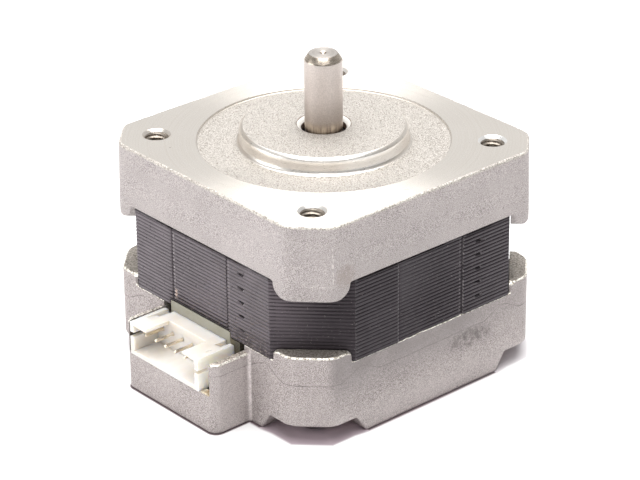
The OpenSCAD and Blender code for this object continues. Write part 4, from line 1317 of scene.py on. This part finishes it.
def board_look(name):
    k = Look(name)
    x, y, z = k.xyz()
    weave = k.math("MULTIPLY", k.math("SINE", k.math("MULTIPLY", x, 13.0)), k.math("SINE", k.math("MULTIPLY", z, 13.0)))
    layers = k.noise(5.0, 2.0, 0.6, k.stretch(0.12, 3.0, 0.12))
    # painted shade: right of x 5.5 the board is a dark olive, darkest towards x 6.6, and its layer texture fades there
    base = k.mix(k.remap(x, 5.45, 5.65), lin(151, 148, 136), k.mix(k.remap(x, 5.7, 6.6), lin(88, 78, 50), lin(60, 53, 42)))
    base = k.mix(k.math("MULTIPLY", k.remap(layers, 0.35, 0.7, 0.0, 0.4), k.remap(x, 5.4, 5.7, 1.0, 0.35)), base, lin(134, 129, 108))
    base = k.mix(k.remap(weave, -1.0, 1.0, 0.0, 0.12), base, lin(172, 170, 154))
    k.set(Base_Color=base, Roughness=k.remap(layers, 0.3, 0.7, 0.4, 0.62))
    k.normal(k.bump(k.math("ADD", k.math("MULTIPLY", weave, 0.3), layers), 0.01))
    return k.mat


def winding_look(name, colour, dark):
    """Enamelled wire laid side by side."""
    k = Look(name)
    x, y, z = k.xyz()
    turns = k.math("SINE", k.math("MULTIPLY", k.math3("LENGTH", k.node("ShaderNodeCombineXYZ", None, X=x, Y=y, Z=0.0).outputs[0]), 2 * math.pi / 0.36))
    over = k.math("SINE", k.math("MULTIPLY", z, 2 * math.pi / 0.36))
    f = k.remap(k.math("ADD", turns, k.math("MULTIPLY", over, 0.5)), -1.2, 1.2)
    k.set(Base_Color=k.mix(f, dark, colour), Metallic=0.75, Roughness=0.3)
    k.shader.inputs["Coat Weight"].default_value = 0.5
    k.normal(k.bump(f, 0.08))
    return k.mat


LOOKS = {
    "cast_front": blasted("cast_front", lin(202, 194, 192), lin(118, 111, 110), 0.62, 1.0, 0.55, marks=True),
    "cast_rear": blasted("cast_rear", lin(203, 194, 192), lin(116, 108, 106), 0.64, 1.0, 0.55, rear=True),
    "machined": turned_face("machined_face", lin(252, 246, 238), lin(245, 238, 229), 0.32, 0.16, 0.0022),
    "recess": sparkle_face("blasted_ring", lin(203, 198, 192), lin(140, 133, 125), 0.55, 1.65, 0.085, 0.41, 0.73, True),
    "edge": sparkle_face("edge_grain", lin(212, 206, 199), lin(150, 144, 137), 0.6, 1.3, 0.07, 0.44, 0.68),
    "recess_wall": smooth_metal("recess_wall", lin(214, 208, 200), 0.3, 1.0, (1, 1, 6.0), 0.06),
    # casting flash on the rims and edges, painted bright as a painted highlight
    "flash_and_highlight": sparkle_face("flash_and_highlight_grain", lin(252, 247, 238), lin(146, 137, 122), 0.45, 1.0, 0.09, 0.50, 0.67),
    "lug_end": sparkle_face("lug_end", lin(178, 171, 163), lin(116, 109, 101), 0.55, 1.1, 0.08),
    # painted light on the boss wall's +X side and painted shade on its -Y side and towards -X
    "boss_wall": smooth_metal("turned_boss", lin(236, 231, 225), 0.31, 1.0, (1, 1, 6.0), 0.06,
                              light_by_facing=((1.0, -0.05, 9.2, 10.9, 0.85, (1.0, 0.99, 0.97)), (-0.035, -1.0, 10.45, 10.95, 0.34, lin(196, 188, 178)), (-0.80, -0.60, 8.6, 10.9, 0.45, lin(208, 199, 188)))),
    # painted shade on two opposite sides of the boss's top chamfer and foot fillet
    "boss_edge": smooth_metal("boss_edge", lin(236, 231, 225), 0.31, 1.0, (1, 1, 6.0), 0.05,
                              light_by_facing=((-0.755, -0.656, 6.6, 9.4, 0.9, lin(202, 192, 180)), (0.755, 0.656, 6.6, 9.4, 0.8, lin(214, 206, 196)))),
    "bore_rim": smooth_metal("bore_rim", lin(250, 248, 243), 0.42, 0.5, (1, 1, 4.0), 0.02),
    "thread": smooth_metal("tapped_thread", lin(158, 149, 139), 0.34, 1.0, (1, 1, 4.0), 0.08),
    "stack": laminations("stack_paint"),
    "stack_side": laminations("side_paint", 0.38, 0.30),
    "stack_corner": laminations("corner_paint", 0.36, 0.40),
    "bore": smooth_metal("bore_shade", lin(112, 92, 80), 0.5, 0.6, None, 0.06),
    "lip": sparkle_face("lip_grain", lin(226, 216, 206), lin(138, 127, 115), 0.55, 1.1, 0.08, 0.44, 0.70),
    "gap": smooth_metal("gap_shade", lin(92, 83, 76), 0.7, 0.2, None, 0.1),
    # the shaft steel carries painted shade towards its foot and a painted reflection of the boss top
    "shaft": smooth_metal("shaft_steel", lin(201, 192, 187), 0.46, 1.0, (2.0, 2.0, 0.8), 0.035, 0.003, 2.0,
                          (1.2, (0.74, 0.70, 0.65), 7.0, (1.0, 1.0, 1.0)), 0.34, (2.1, (0.50, 0.45, 0.40), 3.3)),
    "chamfer": smooth_metal("shaft_chamfer", lin(196, 184, 170), 0.26, 1.0, (0.6, 0.6, 3.0), 0.10, 0.004, 2.0, None, 0.30),
    "shaft_end": turned_face("shaft_end", lin(226, 220, 214), lin(186, 178, 171), 0.34, 0.22, 0.004, 0.5),
    "plastic": moulded("header_plastic", lin(220, 216, 211), lin(212, 205, 197), 0.46, 0.9, 0.0014, HX1),
    "contact": smooth_metal("contact", lin(234, 222, 202), 0.3, 1.0, (3.0, 0.5, 3.0), 0.1),
    "board": board_look("board"),
    # the steel is darkened: painted shade on the heads under the corner notches
    "screw": smooth_metal("screw_steel", lin(128, 124, 124), 0.36, 1.0, None, 0.08),
    "insulator": moulded("insulator", lin(220, 217, 206), lin(204, 200, 188), 0.5, 0.1),
    "winding": winding_look("winding", lin(196, 118, 62), lin(112, 58, 26)),
    "rotor_steel": smooth_metal("rotor_steel", lin(150, 147, 145), 0.38, 1.0, (1, 1, 9.0), 0.12),
    "magnet": smooth_metal("magnet", lin(102, 100, 102), 0.45, 0.8, None, 0.1),
    "spacer": smooth_metal("spacer_brass", lin(206, 178, 104), 0.3, 1.0, (1, 1, 8.0), 0.08),
    "bearing": smooth_metal("bearing_steel", lin(196, 197, 199), 0.2, 1.0, (1, 1, 10.0), 0.05),
    "ball": smooth_metal("ball_steel", lin(222, 224, 226), 0.08, 1.0, None, 0.03, 0.0008),
    "cage": smooth_metal("cage_steel", lin(205, 170, 96), 0.34, 1.0, (1, 1, 5.0), 0.08),
    "shield": smooth_metal("shield_steel", lin(176, 178, 180), 0.28, 1.0, None, 0.07),
    "spring": smooth_metal("spring_steel", lin(158, 160, 163), 0.3, 1.0, None, 0.08),
    "solder": smooth_metal("solder", lin(204, 206, 208), 0.25, 1.0, None, 0.1, 0.01),
}

CARRIED = {
    "front_insulator": "insulator", "rear_insulator": "insulator",
    "coils_phase_a": "winding", "coils_phase_b": "winding", "lead_wires": "winding",
    "rotor_cup_front": "rotor_steel", "rotor_cup_rear": "rotor_steel", "rotor_magnet": "magnet",
    "front_spacer": "spacer", "rear_spacer": "spacer",
    "front_bearing_outer_ring": "bearing", "front_bearing_inner_ring": "bearing",
    "rear_bearing_outer_ring": "bearing", "rear_bearing_inner_ring": "bearing",
    "front_bearing_balls": "ball", "rear_bearing_balls": "ball",
    "front_bearing_cage": "cage", "rear_bearing_cage": "cage",
    "front_bearing_shields": "shield", "rear_bearing_shields": "shield",
    "wave_washer": "spring", "solder_joints": "solder",
}
for node, look in CARRIED.items():
    obj = nodes[node]
    if not obj.data.materials:
        obj.data.materials.append(None)
    for i in range(len(obj.data.materials)):
        obj.data.materials[i] = LOOKS[look]


def dress(obj, names, choose=None):
    """Gives the piece its materials; choose(centre in mm, normal) picks one by number."""
    obj.data.materials.clear()
    for name in names:
        obj.data.materials.append(LOOKS[name])
    for f in obj.data.polygons:
        f.material_index = choose(f.center / MM, f.normal) if choose else 0


def front_regions(c, n):
    r = math.hypot(c.x, c.y)
    hole = math.hypot(abs(c.x) - HOLE, abs(c.y) - HOLE)
    if hole < 1.92 and -5 < c.z < 0.001:
        return 4 if c.z < -0.33 else 3
    if c.z > -0.33 and n.z > 0.12 and n.z < 0.995 and r > 17.2:
        return 5
    if c.z > -0.004 and r > 16.6 and n.z > 0.99:
        return 1
    if n.z > 0.9 and (r < 16.62 and c.z > -0.4 and r > 11.4 or r < 10.62 and c.z > 2.0):
        return 2
    if 16.4 < r < 16.7 and c.z > -0.34:
        return 6
    if 10.5 < r < 11.62 and c.z > -0.34 and n.z > 0.3:
        return 9
    if r < 11.45 and r > 10.5 and c.z > -0.34:
        return 3
    if r < 3.1 and 0.5 < c.z < 1.52:
        return 7
    if r < 3.6 and c.z > 0.5:
        return 8
    return 0


def stack_regions(c, n):
    """0 connector side, 1 other sides, 2 corner facets."""
    if 0.35 < abs(n.x) / (abs(n.y) + 1e-9) < 2.8 and min(abs(c.x), abs(c.y)) > STACK_S - STACK_C - 0.2:
        return 2
    return 0 if c.y < -20.0 and abs(c.x) < STACK_S - STACK_C + 0.01 else 1


def rear_regions(c, n):
    """0 cast, 1 bright ragged edges: casting flash with painted highlight, 2 ends of the lugs, 3 the slit beside the
    header.
    """
    reach = max(abs(c.x), abs(c.y))
    diagonal = (abs(c.x) + abs(c.y)) / S2
    if n.x > 0.6 and -8.2 < c.x < -7.9 and c.y < -21.3 and -28.9 < c.z < -20.54:
        return 3
    if n.z > 0.2:
        if c.z > -18.5 and diagonal > 22:
            return 2 if n.z > 0.93 else 1
        if abs(c.z - Z_SEAT) < 0.22 and n.z < 0.98 and (reach > 20.7 or diagonal > 26.4):
            return 1
        if c.z > -20.86 and c.y < -21.2:
            if c.x > 8.2 and n.z > 0.9:
                return 4
            return 1 if n.z < 0.97 or c.x < -7.6 or c.x > 8.2 else 0
    return 0


# ------------------------------------------------------------- the pieces

front_cap = make_front_cap()
rear_cap = make_rear_cap()
stack = make_stack()
shaft = make_shaft()
header = make_header()
pins = make_pins()
board = make_board()
screws = make_screws()

dress(front_cap, ["cast_front", "machined", "recess", "boss_wall", "thread", "edge", "recess_wall", "bore", "bore_rim", "boss_edge"], front_regions)
dress(rear_cap, ["cast_rear", "flash_and_highlight", "lug_end", "gap", "lip"], rear_regions)
dress(stack, ["stack", "stack_side", "stack_corner"], stack_regions)
dress(shaft, ["shaft", "shaft_end", "chamfer"],
      lambda c, n: 1 if c.z > 11.5 and n.z > 0.8 else (2 if c.z > 11.0 and n.z > 0.2 else 0))
dress(header, ["plastic"])
dress(pins, ["contact"])
dress(board, ["board"])
dress(screws, ["screw"])

for piece, node, body, slot in (
        (front_cap, "front_cap", "housing", "cast_front"),
        (rear_cap, "rear_cap", "housing", "cast_rear"),
        (stack, "stator_core", "housing", "stack_paint"),
        (shaft, "shaft", "rotor", "shaft_steel"),
        (header, "connector_housing", "housing", "header_plastic"),
        (pins, "connector_pins", "housing", "contact"),
        (board, "circuit_board", "housing", "board"),
        (screws, "assembly_screws", "housing", "screw_steel")):
    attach(piece, body)
    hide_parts(node)
for piece in (front_cap, rear_cap):
    weighted(piece)


# ------------------------------------------------------------- stage

def make_floor():
    me = bpy.data.meshes.new("floor")
    z = Z_REAR * MM - 0.00002
    h, n = 1.5, 12
    pts = [(-h + 2 * h * i / n, -h + 2 * h * j / n, z) for j in range(n + 1) for i in range(n + 1)]
    me.from_pydata(pts, [], [(j * (n + 1) + i, j * (n + 1) + i + 1, (j + 1) * (n + 1) + i + 1, (j + 1) * (n + 1) + i)
                             for j in range(n) for i in range(n)])
    obj = bpy.data.objects.new("floor", me)
    bpy.context.scene.collection.objects.link(obj)
    k = Look("floor_paper")
    x, y, z = k.xyz()
    # painted shadow on the floor: the motor's footprint, from the rear cap's outline and the connector box, is painted
    # dark
    ax, ay = k.math("ABSOLUTE", x), k.math("ABSOLUTE", y)
    drawn = k.remap(k.math("MINIMUM", ax, ay), 11.5, 13.5, REAR_S, REAR_S - 0.35)
    square = k.math("SUBTRACT", k.math("MAXIMUM", ax, ay), drawn)
    corner = k.math("SUBTRACT", k.math("MULTIPLY", k.math("ADD", ax, ay), 1 / S2), 26.75)
    body = k.math("MAXIMUM", square, corner)
    wide = k.math("SUBTRACT", k.math("ABSOLUTE", k.math("SUBTRACT", x, 0.25)), 9.0)
    deep = k.math("SUBTRACT", k.math("MULTIPLY", y, -1.0), 26.9)
    wide, deep = k.math("ADD", wide, 1.2), k.math("ADD", deep, 1.2)
    out_w, out_d = k.math("MAXIMUM", wide, 0.0), k.math("MAXIMUM", deep, 0.0)
    rounded = k.math("SQRT", k.math("ADD", k.math("MULTIPLY", out_w, out_w), k.math("MULTIPLY", out_d, out_d)))
    rounded = k.math("SUBTRACT", k.math("ADD", rounded, k.math("MINIMUM", k.math("MAXIMUM", wide, deep), 0.0)), 1.2)
    box = k.math("MAXIMUM", rounded, y)
    off = k.math("MINIMUM", body, box)
    across = k.math("ADD", x, y)
    body = k.remap(body, 0.05, 0.6, 1.0, 0.0, smooth=True)
    # the painted shadow is weaker towards the +X+Y corner and fades out at the -X-Y corner
    body = k.math("MULTIPLY", body, k.math("MULTIPLY", k.remap(across, 22.0, 38.0, 1.0, 0.35), k.remap(across, -34.0, -26.0, 0.12, 1.0)))
    contact = k.math("MAXIMUM", body, k.remap(box, 0.03, 0.4, 1.0, 0.0, smooth=True))
    paper = k.mix(k.noise(0.01, 2.0), lin(238, 238, 238), lin(241, 241, 241))
    # the painted shadow is darker at the footprint's edge than further in
    paper = k.mix(contact, paper, k.mix(k.remap(off, -2.6, -0.1, smooth=True), (0.72, 0.594, 0.650), (0.400, 0.328, 0.361)))
    # painted contact shadow: a thin dark line along the sides that rest on the floor
    touch = k.math("MULTIPLY", k.remap(k.math("ABSOLUTE", off), 0.08, 0.30, 0.9, 0.0, smooth=True), k.math("LESS_THAN", k.math("MINIMUM", ax, ay), 11.3))
    k.set(Base_Color=k.mix(touch, paper, (0.105, 0.076, 0.080)), Roughness=0.9)
    k.shader.inputs["Specular IOR Level"].default_value = 0.1
    me.materials.append(k.mat)
    return obj


make_floor()

scene = bpy.context.scene
world = bpy.data.worlds.new("studio")
scene.world = world
world.use_nodes = True
sky = world.node_tree
sky.nodes.clear()
sky_out = sky.nodes.new("ShaderNodeOutputWorld")
sky_bg = sky.nodes.new("ShaderNodeBackground")
sky.links.new(sky_bg.outputs[0], sky_out.inputs[0])
sky_bg.inputs["Color"].default_value = (1.0, 1.0, 1.0, 1.0)


def towards(azimuth, elevation):
    a, e = math.radians(azimuth), math.radians(elevation)
    return Vector((math.sin(a) * math.cos(e), -math.cos(a) * math.cos(e), math.sin(e)))


# the room is a little brighter behind the motor
sky_dir = sky.nodes.new("ShaderNodeTexCoord")
sky_dot = sky.nodes.new("ShaderNodeVectorMath")
sky_dot.operation = "DOT_PRODUCT"
sky_dot.inputs[1].default_value = towards(229, 20)
sky.links.new(sky_dir.outputs["Generated"], sky_dot.inputs[0])
sky_map = sky.nodes.new("ShaderNodeMapRange")
sky_map.interpolation_type = "SMOOTHSTEP"
for i, v in enumerate((0.0, 0.9, 0.40, 0.80)):
    sky_map.inputs[i + 1].default_value = v
sky.links.new(sky_dot.outputs["Value"], sky_map.inputs[0])
sky.links.new(sky_map.outputs[0], sky_bg.inputs["Strength"])
scene.view_settings.view_transform = "Standard"


def softbox(name, azimuth, elevation, distance, width, height, power, colour=(1.0, 1.0, 1.0)):
    """Area light that looks at the motor from (azimuth, elevation), measured as the camera is."""
    back = towards(azimuth, elevation)
    light = bpy.data.lights.new(name, "AREA")
    light.shape, light.size, light.size_y = "RECTANGLE", width, height
    light.energy, light.color = power, colour
    obj = bpy.data.objects.new(name, light)
    obj.location = back * distance + Vector((0, 0, -0.012))
    side = Vector((math.cos(math.radians(azimuth)), math.sin(math.radians(azimuth)), 0))
    over = back.cross(side)
    obj.rotation_euler = Matrix((side, over, back)).transposed().to_euler()
    obj.visible_camera = False
    scene.collection.objects.link(obj)
    return obj


softbox("overhead", 49, 89.9, 0.7, 0.78, 1.02, 12.2)
softbox("left", -30, 14, 0.8, 0.5, 0.4, 1.95)
softbox("front", 49, 38, 0.7, 0.13, 0.13, 0.20)

# camera: fitted to the photograph, lengths in mm
AZ, EL, ROLL, DIST, FOCAL, TX, TY = 49.055, 26.438, -0.584, 371.37, 2852.7, 3.894, -102.46
a, r = math.radians(AZ), math.radians(ROLL)
back = towards(AZ, EL)
right = Vector((math.cos(a), math.sin(a), 0.0))
up = back.cross(right)
R = math.cos(r) * right + math.sin(r) * up
U = -math.sin(r) * right + math.cos(r) * up
where = back * DIST - R * (TX * DIST / FOCAL) + U * (TY * DIST / FOCAL)
cam_data = bpy.data.cameras.new("camera")
cam_data.sensor_width = 36.0
cam_data.lens = FOCAL * 36.0 / 640.0
cam_data.clip_start, cam_data.clip_end = 0.01, 10.0
cam = bpy.data.objects.new("camera", cam_data)
cam.matrix_world = Matrix((
    (R.x, U.x, back.x, where.x * MM), (R.y, U.y, back.y, where.y * MM),
    (R.z, U.z, back.z, where.z * MM), (0, 0, 0, 1)))
scene.collection.objects.link(cam)
scene.camera = cam
